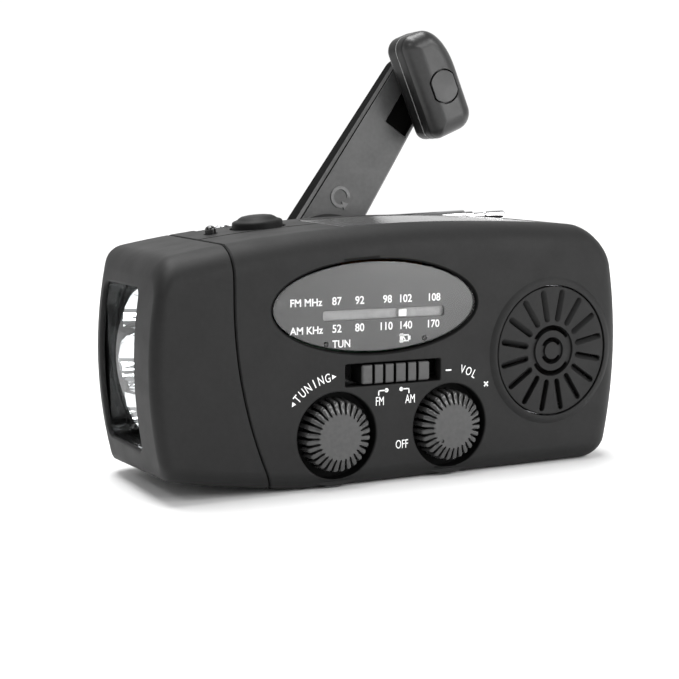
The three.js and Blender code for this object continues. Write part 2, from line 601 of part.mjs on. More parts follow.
// ---------------------------------------------------------------- gear train and dynamo
// Involute spur gear about an axis parallel to Y, with one tooth centred at the phase angle.
function gear(cx, cz, teeth, phase, y0, y1) {
  const pitchR = (GEAR_MODULE * teeth) / 2;
  const pressure = THREE.MathUtils.degToRad(24);
  const baseR = pitchR * Math.cos(pressure);
  const rootR = pitchR - 1.15 * GEAR_MODULE;
  const tipR = pitchR + 0.85 * GEAR_MODULE;
  const involute = (r) => {
    const alpha = Math.acos(Math.min(baseR / r, 1));
    return Math.tan(alpha) - alpha;
  };
  const halfAtPitch = Math.PI / (2 * teeth) - 0.07 / pitchR;
  const halfAngle = (r) => halfAtPitch + involute(pitchR) - involute(Math.max(r, baseR));
  const radii = [rootR, pitchR, tipR];
  const points = [];
  for (let i = 0; i < teeth; i += 1) {
    const centre = phase + (i / teeth) * 2 * Math.PI;
    for (const r of radii) {
      points.push([cx + r * Math.cos(centre - halfAngle(r)), cz + r * Math.sin(centre - halfAngle(r))]);
    }
    for (const r of [...radii].reverse()) {
      points.push([cx + r * Math.cos(centre + halfAngle(r)), cz + r * Math.sin(centre + halfAngle(r))]);
    }
  }
  return prism('y', points, y0, y1);
}

const centreDistance = (a, b) => (GEAR_MODULE * (a + b)) / 2;
// Phase at which a gear of b teeth meshes with one of a teeth that lies back along the direction.
const meshPhase = (direction, phase, a, b) => (
  direction + Math.PI + Math.PI / b - ((phase - direction) * a) / b
);
const along = (start, angle, distance) => ({
  x: start.x + distance * Math.cos(angle),
  z: start.z + distance * Math.sin(angle),
});
const IDLER = along(HUB, IDLER_ANGLE, centreDistance(CRANK_TEETH, IDLER_TEETH));
const DYNAMO = along(IDLER, DYNAMO_ANGLE, centreDistance(WHEEL_TEETH, PINION_TEETH));
const crankLayer = [15.5, 18.5];
const wheelLayer = [11.5, 14.5];

const crankGear = gear(HUB.x, HUB.z, CRANK_TEETH, IDLER_ANGLE, ...crankLayer);
place('crank_shaft', crankGear.add(rod(HUB.x, HUB.z, 3.2, crankLayer[0], TURRET.y + 0.2)), STEEL);

const idlerPhase = meshPhase(IDLER_ANGLE, IDLER_ANGLE, CRANK_TEETH, IDLER_TEETH);
place('idler_gear', gear(IDLER.x, IDLER.z, IDLER_TEETH, idlerPhase, wheelLayer[1] - 0.1, crankLayer[1])
  .add(gear(IDLER.x, IDLER.z, WHEEL_TEETH, DYNAMO_ANGLE, ...wheelLayer))
  .subtract(rod(IDLER.x, IDLER.z, 1.6, 10, 20, 16)), NYLON);
place('idler_axle', rod(IDLER.x, IDLER.z, 1.2, 8.2, 19.6, 12), STEEL);

const pinionPhase = meshPhase(DYNAMO_ANGLE, DYNAMO_ANGLE, WHEEL_TEETH, PINION_TEETH);
place('dynamo_pinion', gear(DYNAMO.x, DYNAMO.z, PINION_TEETH, pinionPhase, ...wheelLayer)
  .add(rod(DYNAMO.x, DYNAMO.z, 1.1, 7.6, wheelLayer[0] + 0.5, 12)), STEEL);
place('dynamo', rod(DYNAMO.x, DYNAMO.z, 10.5, -7.5, 8.2, 24)
  .subtract(rod(DYNAMO.x, DYNAMO.z, 1.5, 7, 10, 12)), STEEL);
place('gearbox_plate', box(-24, 9.8, 9.4, 10.6, 8.5, 52, 3)
  .subtract(rod(IDLER.x, IDLER.z, 1.5, 8, 12, 12))
  .subtract(rod(DYNAMO.x, DYNAMO.z, 1.6, 8, 12, 12)), STEEL);

// ---------------------------------------------------------------- crank
// Local frame: origin on the crank axis, +X along the arm, Y as the radio's.
const crank = new THREE.Group();
crank.position.set(HUB.x, 0, HUB.z);
crank.rotation.y = -CRANK_ANGLE;
radio.add(crank);

const PIN_Y = ARM.y0 + ARM.root / 2;
const EAR = { inner: ARM.rootHalf + 0.4, outer: ARM.rootHalf + 3 };

function crankHub() {
  let hub = rod(0, 0, 13.2, TURRET.y + 0.5, ARM.y0 - 0.4, 36);
  for (const side of [-1, 1]) {
    const [z0, z1] = side < 0 ? [-EAR.outer, -EAR.inner] : [EAR.inner, EAR.outer];
    const profile = [[-3.6, ARM.y0 - 1]];
    for (let i = 0; i <= 8; i += 1) {
      const angle = Math.PI - (i / 8) * Math.PI;
      profile.push([3.6 * Math.cos(angle), PIN_Y + 3.6 * Math.sin(angle)]);
    }
    profile.push([3.6, ARM.y0 - 1]);
    hub = hub.add(prism('z', profile.reverse(), z0, z1));
  }
  return hub.subtract(rodZ(0, PIN_Y, 1.7, -20, 20, 16));
}
place('crank_hub', crankHub(), SATIN_GREY, crank);
place('fold_pin', rodZ(0, PIN_Y, 1.4, -EAR.outer + 0.2, EAR.outer - 0.2, 14), STEEL, crank);

function crankArm() {
  const { y0, root, tip, length, rootHalf, tipHalf } = ARM;
  const corner = 4;
  const outline = [[-root / 2, rootHalf], [-root / 2, -rootHalf]];
  for (const [side, from] of [[-1, -90], [1, 0]]) {
    for (let i = 0; i <= 4; i += 1) {
      const angle = THREE.MathUtils.degToRad(from + (90 * i) / 4);
      const z = side * (tipHalf - corner) + corner * Math.sin(angle);
      outline.push([length - corner + corner * Math.cos(angle), z]);
    }
  }
  const profile = [[length, y0], [length, y0 + tip]];
  for (let i = 0; i <= 8; i += 1) {
    const angle = Math.PI / 2 + (i / 8) * Math.PI;
    profile.push([(root / 2) * Math.cos(angle), PIN_Y + (root / 2) * Math.sin(angle)]);
  }
  const plan = prism('y', outline, y0 - 1, y0 + root + 1);
  const recess = box(49.2, 80, y0 - 1, y0 + 1, -20, 0.9);
  return plan.intersect(prism('z', profile, -20, 20))
    .subtract(recess)
    .subtract(rodZ(0, PIN_Y, 1.8, -20, 20, 16))
    .subtract(rod(GRIP.x, GRIP.z, 2.1, 30, 50, 16));
}
place('crank_arm', crankArm(), SATIN_GREY, crank);

const gripPivot = new THREE.Group();
gripPivot.position.set(GRIP.x, 0, GRIP.z);
gripPivot.rotation.y = -GRIP_TILT;
crank.add(gripPivot);

// Outline of the grip, drawn in by an offset, at one depth.
function gripRing(y, offset) {
  const { x0, x1, z0, z1 } = GRIP_BOX;
  return GRIP_CORNERS.flatMap((corner, index) => {
    const [rx, rz] = [corner.rx, corner.rz].map((r) => Math.max(r - offset, 0.1));
    const centreX = corner.x > 0 ? x1 - offset - rx : x0 + offset + rx;
    const centreZ = corner.z > 0 ? z1 - offset - rz : z0 + offset + rz;
    return Array.from({ length: 5 }, (_, i) => {
      const angle = ((index - 1) + i / 4) * (Math.PI / 2);
      return [centreX + rx * Math.cos(angle), y, centreZ + rz * Math.sin(angle)];
    });
  });
}

const gripBore = rod(0, 0, 2.2, 20, 40, 16);
place('grip_rear', skin([
  gripRing(GRIP.split + 0.15, 0), gripRing(33, 0.1), gripRing(35.2, 0.7),
  gripRing(36.5, 1.8), gripRing(GRIP.y1, 3),
]).subtract(gripBore), GLOSS_BLACK, gripPivot);
place('grip_front', skin([
  gripRing(GRIP.y0, 3.8), gripRing(24.5, 2.2), gripRing(25.8, 1),
  gripRing(27.8, 0.2), gripRing(GRIP.split - 0.15, 0),
]).subtract(gripBore).subtract(rod(0, 0, 3.5, 20, 27.6, 20))
  .subtract(rod(0, 0, 4.6, 20, 25.3, 24)), GLOSS_BLACK, gripPivot);
place('grip_cap', rod(0, 0, 4.3, GRIP.y0 - 0.1, 25, 24)
  .intersect(box(-10, 10, 20, 40, -3.7, 3.7)), GLOSS_BLACK, gripPivot);
place('grip_pin', rod(GRIP.x, GRIP.z, 1.8, 26, 43.4, 16)
  .add(rod(GRIP.x, GRIP.z, 3.1, 25.6, 26.8, 16))
  .add(rod(GRIP.x, GRIP.z, 3.4, ARM.y0 + 5.3, ARM.y0 + 6.3, 20)), STEEL, crank);

// ---------------------------------------------------------------- antenna
// Local frame: origin at the pivot, +X along the stowed rod.
const antenna = new THREE.Group();
antenna.position.set(ANTENNA.x0, ANTENNA.y, ANTENNA.z0);
antenna.rotation.y = -Math.atan2(ANTENNA.z1 - ANTENNA.z0, ANTENNA.x1 - ANTENNA.x0);
radio.add(antenna);

const PIVOT_R = 2.3;
const barrel = rod(0, 0, PIVOT_R, -1.3, 1.3, 18).add(box(0, 3, -1.3, 1.3, -1.3, 1.3));
place('antenna_knuckle', barrel.add(rodX(0, 0, 1.9, 2.8, 4.6, 12))
  .subtract(rod(0, 0, 1.1, -4, 4, 12)), CHROME, antenna);
place('antenna_bracket', [-1, 1].reduce((bracket, side) => {
  const [y0, y1] = side < 0 ? [-2.4, -1.6] : [1.6, 2.4];
  return bracket.add(rod(0, 0, PIVOT_R, y0, y1, 18)).add(box(-PIVOT_R, PIVOT_R, y0, y1, -2.5, 0));
}, box(-PIVOT_R, PIVOT_R, -2.4, 2.4, -2.55, -2.35).add(rod(0, 0, 0.8, -2.4, 2.4, 12))), STEEL, antenna);

const SECTIONS = [
  { r: 1.85, bore: 1.5, x0: 4.9, x1: 69.8 },
  { r: 1.35, bore: 1.0, x0: 6, x1: 72.6 },
  { r: 0.85, bore: 0.55, x0: 7, x1: 76.4 },
  { r: 0.4, bore: 0, x0: 8, x1: 78 },
];
SECTIONS.forEach(({ r, bore, x0, x1 }, i) => {
  let tube = rodX(0, 0, r, x0, x1, 12);
  if (bore > 0) tube = tube.subtract(rodX(0, 0, bore, x0 + 0.6, x1 + 1, 12));
  else tube = tube.add(rodX(0, 0, 1.05, x1 - 1.2, x1 + 5.3, 12));
  place(`antenna_section_${i + 1}`, tube, CHROME, antenna);
});

export default radio;
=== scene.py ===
"""Looks of a hand-crank emergency radio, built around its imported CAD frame.

Shapes are worked out in millimetres, +Z up, front towards -Y, and scaled to metres when a piece
is finished. Places come from the frame's nodes and joints.
"""
import json
import math

import bmesh
import bpy
from mathutils import Matrix, Vector


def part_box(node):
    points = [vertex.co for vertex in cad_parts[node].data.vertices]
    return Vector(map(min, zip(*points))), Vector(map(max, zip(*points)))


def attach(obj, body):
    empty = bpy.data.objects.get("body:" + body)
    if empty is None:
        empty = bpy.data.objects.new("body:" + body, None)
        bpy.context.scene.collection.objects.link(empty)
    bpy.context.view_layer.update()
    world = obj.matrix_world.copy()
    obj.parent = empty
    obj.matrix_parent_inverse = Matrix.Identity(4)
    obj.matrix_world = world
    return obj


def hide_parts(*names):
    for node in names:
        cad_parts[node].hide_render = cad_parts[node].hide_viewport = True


MM = 0.001
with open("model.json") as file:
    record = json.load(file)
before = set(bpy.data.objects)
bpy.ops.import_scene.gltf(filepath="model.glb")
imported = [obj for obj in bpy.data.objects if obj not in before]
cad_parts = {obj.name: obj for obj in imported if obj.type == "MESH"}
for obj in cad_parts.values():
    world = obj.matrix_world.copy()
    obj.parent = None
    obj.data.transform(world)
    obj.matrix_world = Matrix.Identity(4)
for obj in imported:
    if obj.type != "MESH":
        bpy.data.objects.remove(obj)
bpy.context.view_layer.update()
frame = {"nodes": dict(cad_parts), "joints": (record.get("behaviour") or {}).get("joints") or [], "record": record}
JOINTS = {joint["name"]: joint for joint in frame["joints"]}


def extent(node):
    """Lowest and highest corner of a CAD node, in millimetres."""
    low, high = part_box(node)
    return low / MM, high / MM


def middle(node):
    low, high = extent(node)
    return (low + high) / 2


def pivot(joint):
    return Vector(JOINTS[joint]["pos_m"]) / MM


# ------------------------------------------------------------------ driving dimensions
HALF_LENGTH = 63.0
HALF_DEPTH = 22.5
TOP_HEIGHT = 61.2
TOP_CREST_X = 16.0
TOP_CREST_Y = 16.0
TOP_ARCH = 0.0012
TOP_ARCH_RIGHT = 0.0008
TOP_SLOPE = 0.036
BULGE = 0.005
BULGE_Z = 29.0
BASE_R = 4.5
TOP_FRONT_R = 7.5
TOP_BACK_R = 5.0
LEFT_END = {"front": 2.6, "back": 7.5, "top": 4.3, "base": 2.4}
RIGHT_END = {"front": 8.0, "back": 8.0, "top": 11.5, "base": 9.0}
CAP_LINE = {"top_x": -44.2, "base_x": -33.6, "bend_z": 44, "drop": 46, "sweep": 10.6, "power": 2.1}
LIFT = {"from_x": -26, "over": 34, "height": 4.2, "power": 1.2, "front_share": 1.14, "back_share": 0.68}
WALL = 2.2
TOP_WALL = 4.2
GAP = 0.3
SPLIT_Y = -1.0
FRONT_Y = -HALF_DEPTH
BACK_Y = HALF_DEPTH
LIP = 0.4
# Farther than any point of the radio.
FAR = 90.0

TUNING = middle("tuning_knob")
VOLUME = middle("volume_knob")
DIAL_LOW, DIAL_HIGH = extent("dial_window")
DIAL = middle("dial_window")
DIAL_A = (DIAL_HIGH.x - DIAL_LOW.x) / 2 + GAP
DIAL_B = (DIAL_HIGH.z - DIAL_LOW.z) / 2 + GAP
SPEAKER = middle("speaker_grille")
SPEAKER_R = extent("speaker_grille")[1].x - SPEAKER.x + GAP
SLOT = middle("band_switch_body")
SLOT_HALF_X = 12.6
SLOT_HALF_Z = 2.6
PANEL_LOW, PANEL_HIGH = extent("solar_cover")
BUTTON = middle("torch_button")
POWER_LED = middle("power_led")
WINDOW_LOW, WINDOW_HIGH = extent("torch_lens")
HUB = pivot("crank_turn")
FOLD = pivot("arm_fold")
FOLD_AXIS = Vector(JOINTS["arm_fold"]["axis"])
CRANK_ANGLE = math.atan2(-FOLD_AXIS.x, FOLD_AXIS.z)
GRIP_TILT = math.radians(56.1)
ANTENNA = pivot("antenna_tilt")
ANTENNA_AXIS = Vector(JOINTS["antenna_draw"]["axis"])


# ------------------------------------------------------------------ meshes
def link(name, mesh):
    obj = bpy.data.objects.new(name, mesh)
    bpy.context.scene.collection.objects.link(obj)
    return obj


def drop(obj):
    mesh = obj.data
    bpy.data.objects.remove(obj)
    bpy.data.meshes.remove(mesh)


def solid(name, vertices, faces):
    """Closed mesh with its coincident points merged and its faces pointing out."""
    mesh = bpy.data.meshes.new(name)
    mesh.from_pydata([tuple(v) for v in vertices], [], faces)
    work = bmesh.new()
    work.from_mesh(mesh)
    bmesh.ops.remove_doubles(work, verts=work.verts, dist=1e-4)
    bmesh.ops.dissolve_degenerate(work, dist=1e-5, edges=work.edges)
    bmesh.ops.recalc_face_normals(work, faces=work.faces)
    work.to_mesh(mesh)
    work.free()
    return link(name, mesh)


def loft(name, rings, strips=False):
    """Skin through rings of equal point counts. The ends are closed by one face each, or by
    strips between the two halves of the ring, which follow a bent end."""
    count = len(rings[0])
    vertices = [point for ring in rings for point in ring]
    faces = []
    for i in range(len(rings) - 1):
        for j in range(count):
            k = (j + 1) % count
            faces.append((i * count + j, i * count + k, (i + 1) * count + k, (i + 1) * count + j))
    for base in (0, (len(rings) - 1) * count):
        if strips:
            for i in range(count // 2 - 1):
                faces.append((base + i, base + i + 1, base + count - 2 - i, base + count - 1 - i))
        else:
            faces.append(tuple(range(base, base + count)))
    return solid(name, vertices, faces)


def stack(name, outline, levels, place, strips=False):
    """Solid through one outline at several levels, each a (depth, offset)."""
    rings = [[place(a, b, depth) for a, b in outline(offset)] for depth, offset in levels]
    return loft(name, rings, strips)


def from_front(a, b, depth):
    return (a, FRONT_Y + depth, b)


def from_back(a, b, depth):
    return (a, BACK_Y - depth, b)


def along_y(a, b, depth):
    return (a, depth, b)


def along_z(a, b, depth):
    return (a, b, depth)


def sweep(steps, whole=math.pi / 2):
    """Angles from zero to the whole, in equal steps."""
    return [whole * i / steps for i in range(steps + 1)]


def ellipse(ca, cb, ra, rb=None, count=96):
    rb = ra if rb is None else rb

    def points(offset):
        angles = [2 * math.pi * (i + 0.5) / count for i in range(count)]
        return [(ca + (ra + offset) * math.cos(t), cb + (rb + offset) * math.sin(t)) for t in angles]

    return points


def rounded(a0, a1, b0, b1, radius, steps=8):
    """Rectangle with round corners."""

    def points(offset):
        r = max(radius + offset, 0.02)
        corners = [(a1 - radius, b0 + radius, -90), (a1 - radius, b1 - radius, 0),
                   (a0 + radius, b1 - radius, 90), (a0 + radius, b0 + radius, 180)]
        ring = []
        for ca, cb, start in corners:
            for i in range(steps + 1):
                t = math.radians(start + 90 * i / steps)
                ring.append((ca + r * math.cos(t), cb + r * math.sin(t)))
        return ring

    return points


def quarter(radius, steps=6):
    """(depth, offset) steps of a rounded outer edge, from the face to the side."""
    return [(radius * (1 - math.cos(t)), -radius * (1 - math.sin(t))) for t in sweep(steps)]


def mouth(radius, depth, above=2.0, steps=6):
    """Levels of a cutter whose mouth leaves a rounded lip."""
    lip = [(radius * (1 - math.cos(t)), radius * (1 - math.sin(t))) for t in sweep(steps)]
    return [(-above, radius), *lip, (depth, 0.0)]


def pad(depth, edge):
    """Levels of a solid whose front edge is rounded."""
    return quarter(edge) + [(depth, 0.0)]


def turned(name, centre, profile, place, count=96):
    """Solid of revolution: the profile is [(radius, depth)]."""
    outline = ellipse(centre[0], centre[1], 0.0, count=count)
    return stack(name, outline, [(depth, radius) for radius, depth in profile], place)


def block(name, low, high, edge, steps=3):
    """Box with all its edges rounded."""
    levels = [(low[1] + d, offset) for d, offset in quarter(edge, steps)]
    levels += [(high[1] - d, offset) for d, offset in reversed(quarter(edge, steps))]
    return stack(name, rounded(low[0], high[0], low[2], high[2], edge, steps), levels, along_y)


def applied(obj):
    """Replaces an object's mesh by the mesh that its modifiers make."""
    graph = bpy.context.evaluated_depsgraph_get()
    mesh = bpy.data.meshes.new_from_object(obj.evaluated_get(graph))
    old = obj.data
    obj.modifiers.clear()
    obj.data = mesh
    bpy.data.meshes.remove(old)
    return obj


def combine(obj, tool, operation):
    modifier = obj.modifiers.new("combine", "BOOLEAN")
    modifier.operation = operation
    modifier.object = tool
    modifier.solver = "MANIFOLD"
    applied(obj)
    drop(tool)
    return obj


def cut(obj, *tools):
    for tool in tools:
        combine(obj, tool, "DIFFERENCE")
    return obj


def fused(obj, *tools):
    for tool in tools:
        combine(obj, tool, "UNION")
    return obj


def common(obj, tool):
    return combine(obj, tool, "INTERSECT")


def copied(obj, name="copy"):
    return link(name, obj.data.copy())


def moved(obj, matrix):
    obj.data.transform(matrix)
    return obj


def merged(name, objects):
    """One mesh holding several."""
    work = bmesh.new()
    for obj in objects:
        work.from_mesh(obj.data)
        drop(obj)
    mesh = bpy.data.meshes.new(name)
    work.to_mesh(mesh)
    work.free()
    return link(name, mesh)


def shade(obj, degrees):
    """Smooth faces with hard edges where they meet at more than an angle."""
    work = bmesh.new()
    work.from_mesh(obj.data)
    bmesh.ops.remove_doubles(work, verts=work.verts, dist=1e-7)
    for face in work.faces:
        face.smooth = True
    for edge in work.edges:
        edge.smooth = edge.calc_face_angle(0.0) < math.radians(degrees)
    work.to_mesh(obj.data)
    work.free()
    weighted = obj.modifiers.new("weighted", "WEIGHTED_NORMAL")
    weighted.keep_sharp = True


def piece(obj, name, body, slot, nodes=(), degrees=32, material=None):
    """Finishes a mesh made in millimetres: its name, scale, shading, body and material, which is the
    material of its slot unless another is given."""
    obj.name = name
    obj.data.transform(Matrix.Scale(MM, 4))
    obj.data.materials.clear()
    obj.data.materials.append(material or MATERIALS[slot])
    shade(obj, degrees)
    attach(obj, body)
    if nodes:
        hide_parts(*nodes)
    return obj


def painted(obj, material, chosen):
    """Gives another material to the faces picked by their centre and normal."""
    obj.data.materials.append(material)
    index = len(obj.data.materials) - 1
    for face in obj.data.polygons:
        if chosen(face.center / MM, face.normal):
            face.material_index = index
    return obj


# ------------------------------------------------------------------ materials
def calculated(tree, operation, first, second):
    """Math node's result; each operand is a number or another node's output."""
    node = tree.nodes.new("ShaderNodeMath")
    node.operation = operation
    for place, value in zip(node.inputs, (first, second)):
        if isinstance(value, float):
            place.default_value = value
        else:
            tree.links.new(value, place)
    return node.outputs["Value"]


def remapped(tree, value, low, high, from_low, from_high):
    node = tree.nodes.new("ShaderNodeMapRange")
    for key, number in (("From Min", from_low), ("From Max", from_high), ("To Min", low), ("To Max", high)):
        node.inputs[key].default_value = number
    tree.links.new(value, node.inputs["Value"])
    return node.outputs["Result"]


NOISE_RANGE = (0.3, 0.7)


class Look:
    """A node material with one Principled shader and helpers that link into it."""

    def __init__(self, name, colour, roughness, **inputs):
        self.material = bpy.data.materials.new(name)
        self.material.use_nodes = True
        self.tree = self.material.node_tree
        self.nodes, self.links = self.tree.nodes, self.tree.links
        self.shader = self.nodes["Principled BSDF"]
        self.colour = colour
        self.shader.inputs["Base Color"].default_value = (*colour, 1)
        self.shader.inputs["Roughness"].default_value = roughness
        self.roughness = roughness
        for key, value in inputs.items():
            self.shader.inputs[key.replace("_", " ")].default_value = value
        self.where = self.nodes.new("ShaderNodeTexCoord").outputs["Object"]

    def noise(self, per_metre, detail=3.0, stretch=(1, 1, 1)):
        mapping = self.nodes.new("ShaderNodeMapping")
        mapping.inputs["Scale"].default_value = stretch
        self.links.new(self.where, mapping.inputs["Vector"])
        texture = self.nodes.new("ShaderNodeTexNoise")
        texture.inputs["Scale"].default_value = per_metre
        texture.inputs["Detail"].default_value = detail
        self.links.new(mapping.outputs["Vector"], texture.inputs["Vector"])
        return texture.outputs["Fac"]

    def waves(self, scale):
        """Bands side by side along X."""
        texture = self.nodes.new("ShaderNodeTexWave")
        texture.bands_direction = "X"
        texture.inputs["Scale"].default_value = scale
        self.links.new(self.where, texture.inputs["Vector"])
        return texture.outputs["Fac"]

    def blend(self, share, first, second):
        """Base colour between two colours."""
        mix = self.nodes.new("ShaderNodeMix")
        mix.data_type = "RGBA"
        mix.inputs["A"].default_value = (*first, 1)
        mix.inputs["B"].default_value = (*second, 1)
        self.links.new(share, mix.inputs["Factor"])
        self.links.new(mix.outputs["Result"], self.shader.inputs["Base Color"])
        return self

    def mottle(self, per_metre, share):
        """Base colour that varies by a share of itself."""
        dark = [c * (1 - share) for c in self.colour]
        light = [min(c * (1 + share), 1) for c in self.colour]
        return self.blend(remapped(self.tree, self.noise(per_metre), 0, 1, *NOISE_RANGE), dark, light)

    def worn(self, per_metre, spread, stretch=(1, 1, 1)):
        """Roughness that varies by a spread about its value."""
        value = remapped(self.tree, self.noise(per_metre, stretch=stretch), self.roughness - spread,
                         self.roughness + spread, *NOISE_RANGE)
        self.links.new(value, self.shader.inputs["Roughness"])
        return self

    def bump(self, height, depth_mm):
        node = self.nodes.new("ShaderNodeBump")
        node.inputs["Strength"].default_value = 1.0
        node.inputs["Distance"].default_value = depth_mm * MM
        self.links.new(height, node.inputs["Height"])
        self.links.new(node.outputs["Normal"], self.shader.inputs["Normal"])
        return self

    def grain(self, per_metre, depth_mm, stretch=(1, 1, 1)):
        return self.bump(self.noise(per_metre, 2.0, stretch), depth_mm)


def grey(value, warmth=0.0):
    return (value * (1 + warmth), value, value * (1 - warmth))


def moulded(name, value, roughness, grain_mm=0.012, shine=0.5):
    """Injection-moulded plastic with a fine spark-eroded texture."""
    look = Look(name, grey(value), roughness, Specular_IOR_Level=shine)
    return look.mottle(900, 0.12).worn(140, 0.04).grain(3200, grain_mm).material


def polished(name, value, roughness=0.12):
    look = Look(name, grey(value), roughness, Coat_Weight=0.3, Coat_Roughness=0.05)
    return look.mottle(60, 0.1).worn(90, 0.03).grain(120, 0.004).material


def metal(name, colour, roughness, stretch=(1, 1, 1), spread=0.05):
    look = Look(name, colour, roughness, Metallic=1.0)
    return look.mottle(70, 0.04).worn(900, spread, stretch).grain(2500, 0.0012, stretch).material


def clear(name, tint, ior=1.46, roughness=0.03):
    """Clear plastic: what is behind it shows through, with a mirror sheen by angle on its outer side."""
    material = bpy.data.materials.new(name)
    material.use_nodes = True
    tree = material.node_tree
    nodes, links = tree.nodes, tree.links
    nodes.remove(nodes["Principled BSDF"])
    through = nodes.new("ShaderNodeBsdfTransparent")
    through.inputs["Color"].default_value = (*tint, 1)
    sheen = nodes.new("ShaderNodeBsdfGlossy")
    sheen.inputs["Roughness"].default_value = roughness
    fresnel = nodes.new("ShaderNodeFresnel")
    fresnel.inputs["IOR"].default_value = ior
    outside = calculated(tree, "SUBTRACT", 1.0, nodes.new("ShaderNodeNewGeometry").outputs["Backfacing"])
    mix = nodes.new("ShaderNodeMixShader")
    links.new(calculated(tree, "MULTIPLY", fresnel.outputs["Fac"], outside), mix.inputs["Fac"])
    links.new(through.outputs["BSDF"], mix.inputs[1])
    links.new(sheen.outputs["BSDF"], mix.inputs[2])
    links.new(mix.outputs["Shader"], nodes["Material Output"].inputs["Surface"])
    return material


def rubber(name, value):
    look = Look(name, grey(value), 0.6, Specular_IOR_Level=0.2)
    return look.mottle(500, 0.15).worn(200, 0.06).grain(5200, 0.01).material


def solar(name):
    """Thin-film cell: narrow strips side by side along X with fine bright lines between."""
    look = Look(name, (0.012, 0.013, 0.02), 0.22, Coat_Weight=0.5)
    line = remapped(look.tree, look.waves(42.0), 0.0, 1.0, 0.985, 1.0)
    return look.blend(line, look.colour, (0.12, 0.12, 0.13)).worn(60, 0.03).grain(300, 0.003).material


def board(name):
    look = Look(name, (0.01, 0.08, 0.03), 0.35)
    return look.mottle(400, 0.35).worn(300, 0.08).grain(1500, 0.01).material


def fibrous(name, value):
    look = Look(name, grey(value, 0.08), 0.9)
    return look.mottle(700, 0.25).worn(400, 0.05).grain(1800, 0.05, (1, 6, 1)).material


def windings(name):
    look = Look(name, (0.45, 0.17, 0.06), 0.3, Metallic=0.8)
    return look.mottle(500, 0.12).bump(look.waves(1600.0), 0.1).material


def painted_sheet(name, value):
    return Look(name, grey(value), 0.3).mottle(40, 0.06).worn(60, 0.03).grain(200, 0.003).material


def printed(name, value):
    return Look(name, grey(value), 0.45).mottle(1500, 0.04).grain(4000, 0.004).material


MATERIALS = {
    "case_black": moulded("case_black", 0.0078, 0.56, 0.012, 0.24),
    "knob_black": moulded("knob_black", 0.042, 0.2, 0.002),
    "rubber_black": rubber("rubber_black", 0.006),
    "crank_grey": moulded("crank_grey", 0.052, 0.42, 0.006),
    "gloss_black": polished("gloss_black", 0.008, 0.2),
    "dial_grey": painted_sheet("dial_grey", 0.055),
    "clear_lens": clear("clear_lens", (0.97, 0.98, 0.98), 1.35),
    "window_smoke": clear("window_smoke", (0.96, 0.96, 0.96), 1.38, 0.12),
    "chrome": metal("chrome", (0.92, 0.92, 0.93), 0.06, spread=0.03),
    "steel": metal("steel", (0.55, 0.55, 0.57), 0.28, (1, 8, 1)),
    "switch_grey": moulded("switch_grey", 0.042, 0.45, 0.006),
    "solar_blue": solar("solar_blue"),
    "board_green": board("board_green"),
    "ferrite": fibrous("ferrite", 0.02),
    "copper": windings("copper"),
    "nylon": moulded("nylon", 0.7, 0.4, 0.006),
    "white_plastic": moulded("white_plastic", 0.85, 0.35, 0.004),
    "led_clear": clear("led_clear", (0.95, 0.96, 0.95), 1.5, 0.04),
    "cell_blue": polished("cell_blue", 0.12, 0.3),
    "paper_black": fibrous("paper_black", 0.015),
}
PRINT_WHITE = printed("print_white", 0.9)
STRIP_GREY = moulded("strip_grey", 0.3, 0.4, 0.004)
GRIP_BLACK = moulded("grip_black", 0.022, 0.34, 0.002, 0.4)
SATIN_GLASS = clear("satin_glass", (0.9, 0.9, 0.9), 1.5, 0.2)
# Painted highlight: grey for the light line along the grip's parting line.
SEAM_HIGHLIGHT = moulded("seam_highlight", 0.3, 0.4, 0.002)
# Painted shade: darker, less shiny black for the grip's side walls.
GRIP_SIDE_SHADE = moulded("grip_side_shade", 0.012, 0.4, 0.002, 0.16)
# Painted shade: duller, darker black laid on faces in recesses and between parts, where shade falls.
SHADE_BLACK = moulded("painted_shade_black", 0.004, 0.7, 0.004, 0.1)
# Painted shade: near-black matt plastic for the arm's walls, recess and back.
ARM_SHADE_BLACK = moulded("arm_shade_black", 0.003, 0.65, 0.006, 0.04)
# Painted highlight: lighter, smoother grey for the arm's bevelled step.
ARM_HIGHLIGHT_GREY = moulded("arm_highlight_grey", 0.1, 0.3, 0.002)


def dress_cad_nodes():
    """Every CAD node gets its slot's material, whether or not a finer piece replaces it."""
    for row in frame["record"]["subparts"]:
        mesh = frame["nodes"][row["node"]].data
        mesh.materials.clear()
        mesh.materials.append(MATERIALS[row["material_slot"]])


# ------------------------------------------------------------------ camera, floor and light
LIGHT_AIM = (0, 0, 0.04)
SUN = {"place": (-0.05, 0.3, 1.0), "power": 2.9, "spread": 36}
AREA_LIGHTS = [
    ("key_right", (0.8, -0.9, 0.9), (0.6, 0.5), 7),
    ("front_top", (0.2, -1.05, 0.6), (0.7, 0.15), 3),
    ("front_right", (0.85, -1.1, 0.05), (0.5, 0.7), 8),
    ("kicker_left", (-0.63, -0.42, 0.62), (0.2, 0.2), 1.2),
    ("torch_left", (-1.0, 0.45, 0.3), (0.12, 0.2), 0.5),
    ("top", (-0.1, -0.1, 1.2), (0.5, 0.4), 5),
]


def make_camera():
    yaw, pitch = math.radians(27.359), math.radians(-6.5)
    ahead = Vector((math.sin(yaw) * math.cos(pitch), math.cos(yaw) * math.cos(pitch), math.sin(pitch)))
    data = bpy.data.cameras.new("camera")
    data.lens = 67.99
    data.sensor_width = 36.0
    data.clip_start = 0.01
    camera = bpy.data.objects.new("camera", data)
    camera.location = (-0.1501, -0.27605, 0.06667)
    camera.rotation_mode = "QUATERNION"
    camera.rotation_quaternion = ahead.to_track_quat("-Z", "Y")
    bpy.context.scene.collection.objects.link(camera)
    bpy.context.scene.camera = camera


